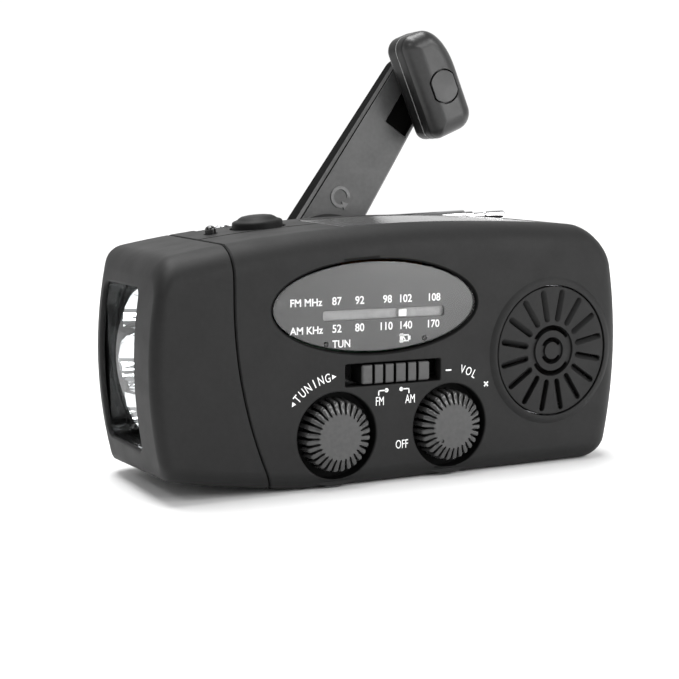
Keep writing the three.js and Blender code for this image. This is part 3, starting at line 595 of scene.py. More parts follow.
def make_floor():
    half = 3.0
    corners = [(-half, -half, 0), (half, -half, 0), (half, half, 0), (-half, half, 0)]
    mesh = bpy.data.meshes.new("floor")
    mesh.from_pydata(corners, [], [(0, 1, 2, 3)])
    floor = link("floor", mesh)
    mesh.materials.append(Look("floor_white", grey(0.9), 0.6).mottle(3, 0.01).worn(8, 0.04).material)


def lamp(name, kind, place, target, power):
    data = bpy.data.lights.new(name, kind)
    data.energy = power
    light = bpy.data.objects.new(name, data)
    light.location = place
    light.rotation_mode = "QUATERNION"
    light.rotation_quaternion = (Vector(target) - Vector(place)).to_track_quat("-Z", "Y")
    bpy.context.scene.collection.objects.link(light)
    return data


def studio_world():
    """White behind the radio, dimmer in front, to the left and overhead: bright by direction only."""
    world = bpy.data.worlds.new("studio")
    world.use_nodes = True
    tree = world.node_tree
    nodes, links = tree.nodes, tree.links
    direction = nodes.new("ShaderNodeTexCoord").outputs["Generated"]

    def facing(axis, low, high):
        """Brightness from low to high with how far a direction turns towards an axis."""
        turned_towards = nodes.new("ShaderNodeVectorMath")
        turned_towards.operation = "DOT_PRODUCT"
        turned_towards.inputs[1].default_value = axis
        links.new(direction, turned_towards.inputs[0])
        return remapped(tree, turned_towards.outputs["Value"], low[1], high[1], low[0], high[0])

    behind = facing((0.46, 0.885, 0.0), (-0.3, 0.32), (0.75, 1.02))
    overhead = facing((0.0, 0.0, 1.0), (0.45, 1.0), (0.85, 0.35))
    nodes["Background"].inputs["Color"].default_value = (1, 1, 1, 1)
    links.new(calculated(tree, "MULTIPLY", behind, overhead), nodes["Background"].inputs["Strength"])
    bpy.context.scene.world = world


def make_light():
    bpy.context.scene.view_settings.view_transform = "Standard"
    studio_world()
    lamp("overhead", "SUN", SUN["place"], (0, 0, 0), SUN["power"]).angle = math.radians(SUN["spread"])
    for name, place, size, power in AREA_LIGHTS:
        light = lamp(name, "AREA", place, LIGHT_AIM, power)
        light.shape = "RECTANGLE"
        light.size, light.size_y = size


# ------------------------------------------------------------------ case outline
def top_line(x):
    arch = TOP_ARCH if x < TOP_CREST_X else TOP_ARCH_RIGHT
    return TOP_HEIGHT - arch * (x - TOP_CREST_X) ** 2


def top_at(x, y):
    return top_line(x) - TOP_SLOPE * (TOP_CREST_Y - y)


def base_line(x):
    """Height of the base, which rises towards the torch end."""
    if x >= LIFT["from_x"]:
        return 0.0
    return LIFT["height"] * ((LIFT["from_x"] - x) / LIFT["over"]) ** LIFT["power"]


def round_off(radius, from_end):
    if from_end >= radius:
        return 0.0
    return radius - math.sqrt(max(radius ** 2 - (radius - from_end) ** 2, 0))


def half_section(x, inset, top_inset, side, steps=12, wall_steps=14):
    """Half ring of the case section at x, from the base up to the top on one side."""
    end = LEFT_END if x < 0 else RIGHT_END
    from_end = HALF_LENGTH - inset - abs(x)

    def shrink(key):
        return round_off(max(end[key] - inset, 2), from_end)

    plan = shrink("front" if side < 0 else "back")
    edge = side * (HALF_DEPTH - inset - plan)
    low = base_line(x) * LIFT["front_share" if side < 0 else "back_share"] + inset + shrink("base")
    high = top_line(x) - top_inset - shrink("top")
    base_r = max(BASE_R - inset - plan, 1.2)
    top_r = max((TOP_FRONT_R if side < 0 else TOP_BACK_R) - top_inset - plan, 1.5)
    ring = [(edge - side * base_r * (1 - math.sin(t)), low + base_r * (1 - math.cos(t)))
            for t in sweep(steps)]
    for i in range(1, wall_steps):
        ring.append((edge, low + base_r + (high - top_r - low - base_r) * i / wall_steps))
    ring += [(edge - side * top_r * (1 - math.cos(t)), high - top_r * (1 - math.sin(t)))
             for t in sweep(steps)]
    points = []
    for y, z in ring:
        lean = TOP_SLOPE * (TOP_CREST_Y - y) * (z / TOP_HEIGHT)
        bow = math.copysign(BULGE, x) * (z - BULGE_Z) ** 2 * (x / HALF_LENGTH) ** 4
        points.append((x - bow, y, z - lean))
    return points


def case_solid(name, inset, top_inset):
    half = HALF_LENGTH - inset
    stations = [-half + 9 * (1 - math.cos(i * math.pi / 28)) for i in range(15)]
    stations += [9 - half + (2 * half - 23) * i / 34 for i in range(1, 34)]
    stations += [half - 14 * (1 - math.cos(i * math.pi / 36)) for i in range(18, -1, -1)]
    rings = [half_section(x, inset, top_inset, -1) + half_section(x, inset, top_inset, 1)[::-1]
             for x in stations]
    return loft(name, rings, strips=True)


def cap_region(name, shift):
    """Everything left of the joint line of the torch cap: upright above, sweeping towards the base."""
    points = [(-FAR, -10), (-FAR, FAR), (CAP_LINE["top_x"] + shift, FAR)]
    for i in range(25):
        t = i / 24
        x = CAP_LINE["top_x"] + CAP_LINE["sweep"] * t ** CAP_LINE["power"] + shift
        points.append((x, CAP_LINE["bend_z"] - CAP_LINE["drop"] * t))
    points.append((CAP_LINE["base_x"] + shift, -10))
    return loft(name, [[(x, y, z) for x, z in points] for y in (-40.0, 40.0)])


def slab(name, low, high):
    (x0, y0, z0), (x1, y1, z1) = low, high
    return loft(name, [[(x, y0, z0), (x, y1, z0), (x, y1, z1), (x, y0, z1)] for x in (x0, x1)])


def groove(inset, seam):
    """What of a seam band lies within a depth of the case surface."""
    return cut(seam, case_solid("under", inset, inset))


def cap_seam(half_width):
    return cut(cap_region("seam", half_width), cap_region("seam_inner", -half_width))


def split_seam(half_width):
    return slab("split", (-FAR, SPLIT_Y - half_width, -20), (FAR, SPLIT_Y + half_width, FAR))


def arched_plate(name, low, high, corner, below, above, edge=0.0, cells=40):
    """Plate over a rectangle with round corners that follows the arched top of the case."""
    x0, x1, y0, y1 = low[0], high[0], low[1], high[1]
    turns = [corner * (1 - math.cos(t)) for t in sweep(8)]
    stations = [x0 + d for d in turns]
    stations += [x0 + corner + (x1 - x0 - 2 * corner) * i / cells for i in range(1, cells)]
    stations += [x1 - d for d in reversed(turns)]
    rings = []
    for x in stations:
        from_end = min(x - x0, x1 - x)
        inset = round_off(corner, from_end)
        fall = round_off(edge, from_end) if edge else 0.0
        left, right = y0 + inset, y1 - inset
        ring = [(left, -below), (right, -below)]
        for side, wall in ((1, right), (-1, left)):
            steps = [(d, -offset) for d, offset in quarter(edge, 4)] if edge else [(0.0, 0.0)]
            steps = steps if side < 0 else steps[::-1]
            ring += [(wall - side * back, above - fall - drop_by) for drop_by, back in steps]
        rings.append([(x, y, top_at(x, y) + z) for y, z in ring])
    return loft(name, rings)


def antenna_z(x):
    """Height of the stowed antenna's line over the base."""
    return ANTENNA.z + (x - ANTENNA.x) * ANTENNA_AXIS.z / ANTENNA_AXIS.x


def ledge(name, x0, x1, below, y0, y1):
    """Everything above a line under the stowed antenna, between two x and two y."""
    corners = [(x0, antenna_z(x0) - below), (x1, antenna_z(x1) - below), (x1, FAR), (x0, FAR)]
    return loft(name, [[(x, y, z) for x, z in corners] for y in (y0, y1)])


# ------------------------------------------------------------------ case shells
DISH_R = 10.0
DISH_DEPTH = 3.3
DISH_BORE_R = 3.6
SEAM_STEPS = [(0.45, 0.1), (0.28, 0.28)]
RING_R = 18.1
RING_TOP_R = 16.5
RING_RISE = 0.62
RECESS_DEPTH = 2.3
DIAL_LIP = 0.42
SCREW_HEADS = [middle(f"case_screw_{i}") for i in range(1, 5)]
TURRET_R = 15.0
TURRET_END_R = 14.0
TURRET_Y = 34.4
TURRET_FOOT_R = 1.6
TURRET_EDGE_R = 0.8


def tilted_to_top(obj, x, y):
    """Turns an upright shape about a point of the top so that it stands square to the surface there."""
    at = Vector((x, y, top_at(x, y)))
    slope_x = -2 * TOP_ARCH * (x - TOP_CREST_X)
    turn = Vector((0, 0, 1)).rotation_difference(Vector((-slope_x, -TOP_SLOPE, 1)).normalized())
    return moved(obj, Matrix.Translation(at) @ turn.to_matrix().to_4x4() @ Matrix.Translation(-at))


def top_hole(x, y, radius, lip):
    top = top_at(x, y)
    outline = ellipse(x, y, radius, count=64)
    hole = stack("hole", outline, [(top - d, offset) for d, offset in mouth(lip, 12.0)], along_z)
    return tilted_to_top(hole, x, y)


def knob_dish(shell, centre):
    """Round dish in the front, with a cup wall behind it and a bore for the shaft."""
    cup_r = DISH_R + 1.6
    cup = turned("cup", (centre.x, centre.z), [(cup_r, 1.0), (cup_r, DISH_DEPTH + 1.6)], from_front)
    dish = stack("dish", ellipse(centre.x, centre.z, DISH_R), mouth(LIP, DISH_DEPTH), from_front)
    bore = turned("bore", (centre.x, centre.z), [(DISH_BORE_R, 0), (DISH_BORE_R, 9)], from_front, 48)
    return cut(fused(shell, cup), dish, bore)


def speaker_ring():
    """Low ring round the grille: it rises from a crease and rounds over towards the grille."""
    steps = 12
    profile = [(RING_R, 1.5)]
    for i in range(steps + 1):
        t = math.pi / 2 * i / steps
        profile.append((RING_R - (RING_R - RING_TOP_R) * i / steps, -RING_RISE * math.sin(t)))
    return turned("ring", (SPEAKER.x, SPEAKER.z), profile, from_front, 160)


def dial_oval(offset, levels):
    return stack("oval", ellipse(DIAL.x, DIAL.z, DIAL_A + offset, DIAL_B + offset, 160), levels, from_front)


def panel_recess():
    low = (PANEL_LOW.x - GAP, PANEL_LOW.y - GAP)
    high = (PANEL_HIGH.x + GAP, PANEL_HIGH.y + GAP)
    return arched_plate("recess", low, high, 1.2, RECESS_DEPTH, 8.0)


def front_shell(main):
    shell = cut(copied(main), slab("rear_half", (-FAR, SPLIT_Y - GAP / 2, -FAR), (FAR, FAR, FAR)))
    for centre in (TUNING, VOLUME):
        knob_dish(shell, centre)
    cut(shell, dial_oval(0.0, mouth(DIAL_LIP, 7.5)))
    slot = rounded(SLOT.x - SLOT_HALF_X, SLOT.x + SLOT_HALF_X,
                   SLOT.z - SLOT_HALF_Z, SLOT.z + SLOT_HALF_Z, 0.5)
    cut(shell, stack("slot", slot, mouth(0.3, 7.5), from_front), panel_recess())
    fused(shell, speaker_ring())
    opening = [(depth - RING_RISE, offset) for depth, offset in mouth(0.14, 8.0)]
    cut(shell, stack("opening", ellipse(SPEAKER.x, SPEAKER.z, SPEAKER_R, count=160), opening, from_front))
    obj = piece(shell, "front_case", "case", "case_black", ["front_shell"])

    # Painted shade: the knob dishes' walls and the dial opening's lip and walls are laid near black.
    def shade_in_openings(place, normal):
        near = min(math.hypot(place.x - knob.x, place.z - knob.z) for knob in (TUNING, VOLUME))
        across, up = (place.x - DIAL.x) / (DIAL_A + DIAL_LIP), (place.z - DIAL.z) / (DIAL_B + DIAL_LIP)
        dish_shade = near < DISH_R + 0.05 and place.y > FRONT_Y + 0.35
        return dish_shade or (math.hypot(across, up) < 1 and place.y > FRONT_Y + 0.003)

    painted(obj, SHADE_BLACK, shade_in_openings)


def back_opening(node, corner):
    low, high = extent(node)
    outline = rounded(low.x - GAP, high.x + GAP, low.z - GAP, high.z + GAP, corner)
    return stack("opening", outline, mouth(0.35, 4.5), from_back)


def turret():
    foot, edge = TURRET_FOOT_R, TURRET_EDGE_R
    root = [(TURRET_R + foot * (1 - math.sin(t)), BACK_Y + foot * (1 - math.cos(t))) for t in sweep(8)]
    end = [(TURRET_END_R - edge * (1 - math.cos(t)), TURRET_Y - edge * (1 - math.sin(t))) for t in sweep(6)]
    profile = [(root[0][0], BACK_Y - 1.5), *root, *end]
    return turned("turret", (HUB.x, HUB.z), profile, along_y, 128)


def rear_shell(main, outer):
    """Rear half with the antenna's ledge, the turret, and the openings of the back and the top."""
    shell = cut(main, slab("front_half", (-FAR, -FAR, -FAR), (FAR, SPLIT_Y + GAP / 2, FAR)))
    shelf = common(copied(outer), ledge("shelf", -43.9, 58.0, 3.9, 13.9, 30.0))
    common(shelf, slab("right_of_cap", (-43.8, -FAR, -FAR), (FAR, FAR, FAR)))
    fused(shell, shelf)
    cut(shell, ledge("antenna_ledge", -38.0, 64.0, 2.6, 15.8, 30.0))
    fused(shell, turret())
    cut(shell, turned("bore", (HUB.x, HUB.z), [(DISH_BORE_R, 18), (DISH_BORE_R, 40)], along_y, 64))
    for head in SCREW_HEADS:
        cut(shell, stack("screw_hole", ellipse(head.x, head.z, 2.9, count=48), mouth(0.3, 2.0), from_back))
    for node, corner in (("battery_cover", 2.0), ("usb_socket", 0.6), ("charge_socket", 0.5)):
        cut(shell, back_opening(node, corner))
    cut(shell, top_hole(BUTTON.x, BUTTON.y, 6.7, 0.4), top_hole(POWER_LED.x, POWER_LED.y, 1.7, 0.25))
    cut(shell, panel_recess())
    return piece(shell, "rear_case", "case", "case_black", ["rear_shell"])


WINDOW_CORNER = 2.2
LINER_ROOM = 0.7
LINER_WALL = 0.62
WINDOW_Y = (WINDOW_LOW.y + WINDOW_HIGH.y) / 2
WINDOW_HALF = (WINDOW_HIGH.y - WINDOW_LOW.y) / 2


def from_bowed_end(a, b, depth):
    return (-HALF_LENGTH + BULGE * (b - BULGE_Z) ** 2 + depth, a, b)


def window_outline(extra=0.0):
    """Round rectangle whose upright sides have points all the way, so that they follow the bowed end."""
    reach = GAP + extra
    corners = rounded(WINDOW_LOW.y - reach, WINDOW_HIGH.y + reach, WINDOW_LOW.z - reach,
                      WINDOW_HIGH.z + reach, WINDOW_CORNER + extra)
    steps = 20

    def points(offset):
        ring = corners(offset)
        full = []
        for i, point in enumerate(ring):
            after = ring[(i + 1) % len(ring)]
            full.append(point)
            if abs(after[1] - point[1]) > 10:
                full += [(point[0], point[1] + (after[1] - point[1]) * j / steps) for j in range(1, steps)]
        return full

    return points


def torch_cap(hollow):
    shell = common(copied(hollow), cap_region("cap", -GAP / 2))
    levels = mouth(0.8, 1.1) + [(1.15, LINER_ROOM), (16.0, LINER_ROOM)]
    cut(shell, stack("window", window_outline(), levels, from_bowed_end))
    return piece(shell, "torch_end", "case", "case_black", ["torch_cap"])


def window_liner():
    """Glossy inner wall between the window's lip and the reflector."""
    tube = stack("liner", window_outline(), [(0.95, LINER_WALL), (9.4, LINER_WALL)], from_bowed_end)
    cut(tube, stack("bore", window_outline(), [(-2.0, 0.0), (16.0, 0.0)], from_bowed_end))
    return piece(tube, "window_liner", "case", "gloss_black")


def case_shells():
    """Front, rear and torch cap, cut from one hollow body so that their outsides line up."""
    outer = case_solid("outer", 0.0, 0.0)
    hollow = cut(copied(outer), case_solid("inner", WALL, TOP_WALL))
    for half_width, depth in SEAM_STEPS:
        cut(hollow, groove(depth, cap_seam(half_width)))
    torch_cap(hollow)
    main = cut(hollow, cap_region("cap", GAP / 2))
    for half_width, depth in SEAM_STEPS:
        cut(main, groove(depth, split_seam(half_width)))
    front_shell(main)
    rear_shell(main, outer)
    window_liner()
    drop(outer)


# ------------------------------------------------------------------ printed marks
PRINT_THICKNESS = 0.03


def lettering(content, height, width_share=1.0, bold=0.0):
    """Flat text in the XY plane, centred, with capitals of a given height."""
    curve = bpy.data.curves.new("lettering", "FONT")
    curve.body = content
    curve.size = 1.0
    curve.offset = bold
    curve.extrude = 0.5
    curve.resolution_u = 4
    obj = applied_text(curve)
    points = [v.co for v in obj.data.vertices]
    low = Vector([min(p[i] for p in points) for i in range(3)])
    high = Vector([max(p[i] for p in points) for i in range(3)])
    scale = height / (high.y - low.y)
    centred = Matrix.Translation(-(low + high) / 2)
    sized = Matrix.Diagonal((scale * width_share, scale, PRINT_THICKNESS, 1))
    return moved(obj, sized @ centred)


def applied_text(curve):
    text = bpy.data.objects.new("text", curve)
    bpy.context.scene.collection.objects.link(text)
    graph = bpy.context.evaluated_depsgraph_get()
    mesh = bpy.data.meshes.new_from_object(text.evaluated_get(graph))
    bpy.data.objects.remove(text)
    bpy.data.curves.remove(curve)
    return link("text", mesh)


def flat_shape(points):
    """Flat mark in the XY plane from an outline."""
    half = PRINT_THICKNESS / 2
    return loft("mark", [[(x, y, z) for x, y in points] for z in (-half, half)])


def stroke(x0, y0, x1, y1, width):
    along = Vector((x1 - x0, y1 - y0)).normalized() * width / 2
    across = Vector((-along.y, along.x))
    corners = [(-1, -1), (1, -1), (1, 1), (-1, 1)]
    ends = [Vector((x0, y0)), Vector((x1, y1)), Vector((x1, y1)), Vector((x0, y0))]
    return flat_shape([tuple(end + along * s + across * t) for end, (s, t) in zip(ends, corners)])


def dot(x, y, radius):
    return flat_shape(ellipse(x, y, radius, count=24)(0.0))


def on_front(mark, x, z, face_y, degrees=0.0):
    """Stands a flat mark upright on a front face, turned about its own middle."""
    upright = Matrix.Rotation(math.radians(90), 4, "X") @ Matrix.Rotation(math.radians(degrees), 4, "Z")
    return moved(mark, Matrix.Translation((x, face_y - PRINT_THICKNESS / 3, z)) @ upright)


def print_piece(name, marks):
    return piece(merged(name, marks), name, "case", "white_plastic", material=PRINT_WHITE)


def arc_lettering(content, centre, radius, start, end, height):
    """Letters round a centre, from one angle to another, each turned along the arc."""
    marks = []
    for i, letter in enumerate(content):
        degrees = start + (end - start) * i / max(len(content) - 1, 1)
        t = math.radians(degrees)
        mark = lettering(letter, height, 0.85 if letter == "I" else 0.72)
        x, z = centre.x + radius * math.cos(t), centre.z + radius * math.sin(t)
        marks.append(on_front(mark, x, z, FRONT_Y, degrees - 90))
    return marks


def arrow_head(centre, radius, degrees, size, clockwise):
    t = math.radians(degrees)
    triangle = flat_shape([(-size / 2, -size / 2), (size / 2, 0.0), (-size / 2, size / 2)])
    turn = degrees - 90 + (0 if clockwise else 180)
    x, z = centre.x + radius * math.cos(t), centre.z + radius * math.sin(t)
    return on_front(triangle, x, z, FRONT_Y, turn)


def front_marks():
    height = 2.0
    radius = 13.6
    marks = arc_lettering("TUNING", TUNING, radius, 137.5, 100.5, height)
    marks.append(arrow_head(TUNING, radius, 144.5, 1.05, False))
    marks.append(arrow_head(TUNING, radius, 93.5, 1.05, True))
    marks += arc_lettering("VOL", VOLUME, radius, 75.5, 60.5, height)
    marks.append(on_front(stroke(-0.6, 0, 0.6, 0, 0.34), VOLUME.x - 0.55, VOLUME.z + 13.2, FRONT_Y))
    for degrees in (0, 90):
        plus = stroke(-0.6, 0, 0.6, 0, 0.34)
        marks.append(on_front(plus, VOLUME.x + 10.05, VOLUME.z + 9.2, FRONT_Y, degrees + 45))
    marks.append(on_front(lettering("OFF", height, 0.68), VOLUME.x - 13.1, VOLUME.z - 3.3, FRONT_Y))
    line_z = SLOT.z - 3.95
    for content, side in (("FM", -1), ("AM", 1)):
        text_x = SLOT.x + side * 4.0
        dot_x = SLOT.x + side * 1.95
        marks.append(on_front(lettering(content, height, 0.64), text_x + 0.3, SLOT.z - 6.35, FRONT_Y))
        marks.append(on_front(dot(0, 0, 0.5), dot_x, line_z, FRONT_Y))
        marks.append(on_front(stroke(dot_x, 0, text_x, 0, 0.28), 0, line_z, FRONT_Y))
        marks.append(on_front(stroke(0, 0, 0, -0.95, 0.28), text_x, line_z, FRONT_Y))
    return print_piece("front_marks", marks)


# ------------------------------------------------------------------ dial
PLATE_Y = extent("dial_plate")[0].y
POINTER_LOW, POINTER_HIGH = extent("dial_pointer")
SCALE_X = (-22.5, 9.3)
SCALE_Z = middle("dial_pointer").z
SCALE_HALF_Z = 1.15
FM_MARKS = [("87", -19.0), ("92", -13.2), ("98", -6.0), ("102", -1.1), ("108", 6.6)]
AM_MARKS = [("52", -19.0), ("80", -13.2), ("110", -6.2), ("140", -1.0), ("170", 6.4)]


def dial_plate():
    depth = PLATE_Y - FRONT_Y
    plate = dial_oval(-0.62, [(depth, 0.0), (depth + 0.8, 0.0)])
    scale = rounded(*SCALE_X, SCALE_Z - SCALE_HALF_Z, SCALE_Z + SCALE_HALF_Z, 0.7)
    cut(plate, stack("scale", scale, mouth(0.12, 3.0), lambda a, b, d: (a, PLATE_Y + d, b)))
    for node in ("tuning_led", "charge_led"):
        led = middle(node)
        cut(plate, stack("hole", ellipse(led.x, led.z, 0.62, count=32), mouth(0.12, 3.0),
                         lambda a, b, d: (a, PLATE_Y + d, b)))
    piece(plate, "dial_face", "case", "dial_grey", ["dial_plate"])


def scale_strip():
    """Light strip behind the scale slot, in front of which the pointer runs."""
    outline = rounded(SCALE_X[0] - 1, SCALE_X[1] + 1, SCALE_Z - 1.7, SCALE_Z + 1.7, 0.5)
    strip = stack("strip", outline, [(PLATE_Y + 0.85, 0.0), (PLATE_Y + 1.3, 0.0)], along_y)
    piece(strip, "scale_strip", "case", "white_plastic", material=STRIP_GREY)


def dial_pointer():
    """The pointer's tab, which runs in the scale slot."""
    low = (POINTER_LOW.x, POINTER_LOW.y, POINTER_LOW.z)
    high = (POINTER_HIGH.x, POINTER_LOW.y + 0.7, POINTER_HIGH.z)
    piece(block("pointer", low, high, 0.15), "pointer_tab", "pointer", "white_plastic", ["dial_pointer"])


def dial_window():
    depth = extent("dial_window")[0].y - FRONT_Y
    window = dial_oval(-0.5, [(depth + d, offset) for d, offset in pad(0.6, 0.2)])
    piece(window, "dial_glass", "case", "window_smoke", ["dial_window"])


def dial_leds():
    for node in ("tuning_led", "charge_led"):
        led = middle(node)
        low, high = extent(node)
        dome = [(0.0, low.y), (0.25, low.y + 0.05), (0.4, low.y + 0.2), (0.45, low.y + 0.4), (0.45, high.y)]
        lamp_body = turned("led", (led.x, led.z), dome, along_y, 24)
        piece(lamp_body, node + "_lamp", "case", "led_clear", [node], material=MATERIALS["gloss_black"])


def battery_mark(x, z):
    """Battery symbol: a case with a nub, its left half filled, and a slanting bar across the rest."""
    marks = [stroke(-1.3, 0.68, 1.0, 0.68, 0.3), stroke(-1.3, -0.68, 1.0, -0.68, 0.3),
             stroke(-0.85, -0.6, -0.85, 0.6, 0.9), stroke(1.0, -0.6, 1.0, 0.6, 0.3),
             stroke(1.35, -0.28, 1.35, 0.28, 0.4), stroke(-0.4, 0.45, 0.1, -0.4, 0.3)]
    return [on_front(mark, x, z, PLATE_Y) for mark in marks]


def dial_marks():
    height = 1.85
    marks = []
    for content, x, z in (("FM MHz", -26.6, 42.6), ("AM KHz", -26.6, 36.4)):
        marks.append(on_front(lettering(content, 1.7, 0.98, 0.02), x, z, PLATE_Y))
    for row, z in ((FM_MARKS, 42.7), (AM_MARKS, 36.5)):
        for content, x in row:
            marks.append(on_front(lettering(content, height, 0.96, 0.016), x, z, PLATE_Y))
    led = middle("tuning_led")
    marks.append(on_front(lettering("TUN", 1.75, 0.92, 0.016), led.x + 3.8, led.z - 0.1, PLATE_Y))
    charge = middle("charge_led")
    marks += battery_mark(charge.x - 5.3, charge.z + 0.3)
    return print_piece("dial_marks", marks)


SWITCH_GROOVE = 0.7
SWITCH_GROOVES_AT = (-6.0, -3.2, -0.4, 2.8, 5.6)


def band_switch():
    """Grooved sliding cap with painted shade deep in its grooves, and a black sheet of painted shade over the
    switch's steel body.
    """
    low, high = extent("band_switch_cap")
    cap = block("cap", low, high, 0.5, 5)
    centre = (low.x + high.x) / 2
    width = SWITCH_GROOVE
    for offset in SWITCH_GROOVES_AT:
        at = centre + offset
        outline = rounded(at - width / 2, at + width / 2, low.z - 1, high.z + 1, 0.1, 3)
        levels = [(low.y + d, o) for d, o in mouth(0.12, 1.1, 1.0)]
        cut(cap, stack("groove", outline, levels, along_y))
    obj = piece(cap, "band_switch", "band_switch", "switch_grey", ["band_switch_cap"])
    face_y = low.y
    # Painted shade: the cap's faces behind its front, its groove walls and sides, are laid near black.
    painted(obj, SHADE_BLACK, lambda place, normal: place.y > face_y + 0.45)
    # Painted shade: a black sheet in front of the steel switch body, which sits in the slot's shade.
    low, high = extent("band_switch_body")
    sheet = slab("sheet", (low.x, low.y - 0.25, low.z), (high.x, low.y - 0.02, high.z))
    piece(sheet, "switch_shade_sheet", "case", "gloss_black")


def build_dial():
    dial_plate()
    scale_strip()
    dial_pointer()
    dial_window()
    dial_leds()
    dial_marks()
    band_switch()


# ------------------------------------------------------------------ speaker grille
SPOKES = 16
SPOKE = {"inner": 7.2, "outer": 15.1, "half": 0.8, "throat": 0.32, "slope": 1.1}
ARCS = [(5.6, 0.55), (2.7, 0.5)]
ARC_SWEEP = 104.0
SLOT_LIP = 0.12


def round_slot(x0, x1, half):
    """Outline of a slot with round ends along X."""

    def points(offset):
        r = half + offset
        ring = []
        for centre, start in ((x1 - half, -90), (x0 + half, 90)):
            for i in range(9):
                t = math.radians(start + 180 * i / 8)
                ring.append((centre + r * math.cos(t), r * math.sin(t)))
        return ring

    return points


def arc_slot(radius, half, middle_degrees):
    """Outline of a slot along an arc, with round ends."""

    def points(offset):
        ring = []
        r = half + offset
        steps = 16
        for side in (1, -1):
            for i in range(steps + 1):
                share = i / steps if side > 0 else 1 - i / steps
                t = math.radians(middle_degrees - ARC_SWEEP / 2 + ARC_SWEEP * share)
                ring.append(((radius + side * r) * math.cos(t), (radius + side * r) * math.sin(t)))
            end = math.radians(middle_degrees + side * ARC_SWEEP / 2)
            tip = Vector((math.cos(end), math.sin(end))) * radius
            out = Vector((math.cos(end), math.sin(end))) * side
            along = Vector((-math.sin(end), math.cos(end))) * side
            for i in range(1, 6):
                t = math.pi * i / 6
                ring.append(tuple(tip + out * r * math.cos(t) + along * r * math.sin(t)))
        return ring

    return points


def speaker_grille():
    low, high = extent("speaker_grille")
    centre = (SPEAKER.x, SPEAKER.z)
    edge = [(low.y + d, offset) for d, offset in pad(high.y - low.y, 0.3)]
    disc = stack("disc", ellipse(*centre, SPEAKER_R - 0.3, count=160), edge, along_y)

    def sloping(a, b, depth):
        """Narrows a spoke's slot with depth towards its counter-clockwise side."""
        share = min(max((depth - low.y) / SPOKE["slope"], 0.0), 1.0)
        kept = 1 - (1 - SPOKE["throat"]) * share
        return (a, depth, SPOKE["half"] + (b - SPOKE["half"]) * kept)

    def opened(outline, levels, degrees=0.0, place=along_y):
        tool = stack("slot", outline, [(low.y + d, offset) for d, offset in levels], place)
        turn = Matrix.Rotation(math.radians(-degrees), 4, "Y")
        return cut(disc, moved(tool, Matrix.Translation((centre[0], 0, centre[1])) @ turn))

    spoke = [(-1.0, SLOT_LIP), (0.0, SLOT_LIP)]
    spoke += [(depth, 0.0) for depth in (SLOT_LIP, 0.6, SPOKE["slope"], 3.0)]
    outline = round_slot(SPOKE["inner"], SPOKE["outer"], SPOKE["half"])
    for i in range(SPOKES):
        opened(outline, spoke, 360 * (i + 0.5) / SPOKES, sloping)
    for arc_radius, half in ARCS:
        inner, outer = arc_radius - half, arc_radius + half
        ring = [(inner - SLOT_LIP, -1.0), (inner - SLOT_LIP, 0.0), (inner, 0.5),
                (outer, 0.5), (outer + SLOT_LIP, 0.0), (outer + SLOT_LIP, -1.0)]
        cut(disc, turned_ring(centre, [(radius, low.y + d) for radius, d in ring]))
        for degrees in (90, 270):
            opened(arc_slot(arc_radius, half, degrees), [(0.2, 0.0), (3.0, 0.0)])
    piece(disc, "grille", "case", "case_black", ["speaker_grille"])


def turned_ring(centre, section, count=96):
    """Ring with a closed cross-section [(radius, y)] round an axis along Y."""
    vertices = []
    for t in sweep(count, 2 * math.pi)[:-1]:
        vertices += [(centre[0] + r * math.cos(t), y, centre[1] + r * math.sin(t)) for r, y in section]
    n = len(section)
    faces = []
    for i in range(count):
        for j in range(n):
            a, b = i * n + j, i * n + (j + 1) % n
            faces.append((a, b, (b + n) % (n * count), (a + n) % (n * count)))
    return solid("ring", vertices, faces)


# ------------------------------------------------------------------ knobs
KNOB_RIBS = 28
RIB_POINTS = 18
KNOB_FACE_R = 5.7
# Rows of (radius, depth from the case front, depth of the gaps between the ribs).
KNOB_PROFILE = [(5.5, -1.8, 0.4), (5.7, -1.72, 0.6), (6.1, -1.5, 0.8), (6.6, -1.3, 0.9),
                (7.1, -1.15, 1.0), (7.6, -0.98, 1.1), (7.95, -0.78, 1.2), (8.15, -0.5, 1.3),
                (8.25, -0.1, 1.4), (8.4, 1.2, 1.4), (8.6, 2.9, 1.4)]


def rib_height(share):
    """How far a rib stands out at a share of its pitch: a broad crest with a narrow gap."""
    side = abs(share - 0.5) * 2
    fall = min(max((side - 0.6) / 0.16, 0), 1)
    crown = 0.14 * (side / 0.6) ** 2
    return 1 - max(crown, fall ** 2 * (3 - 2 * fall))


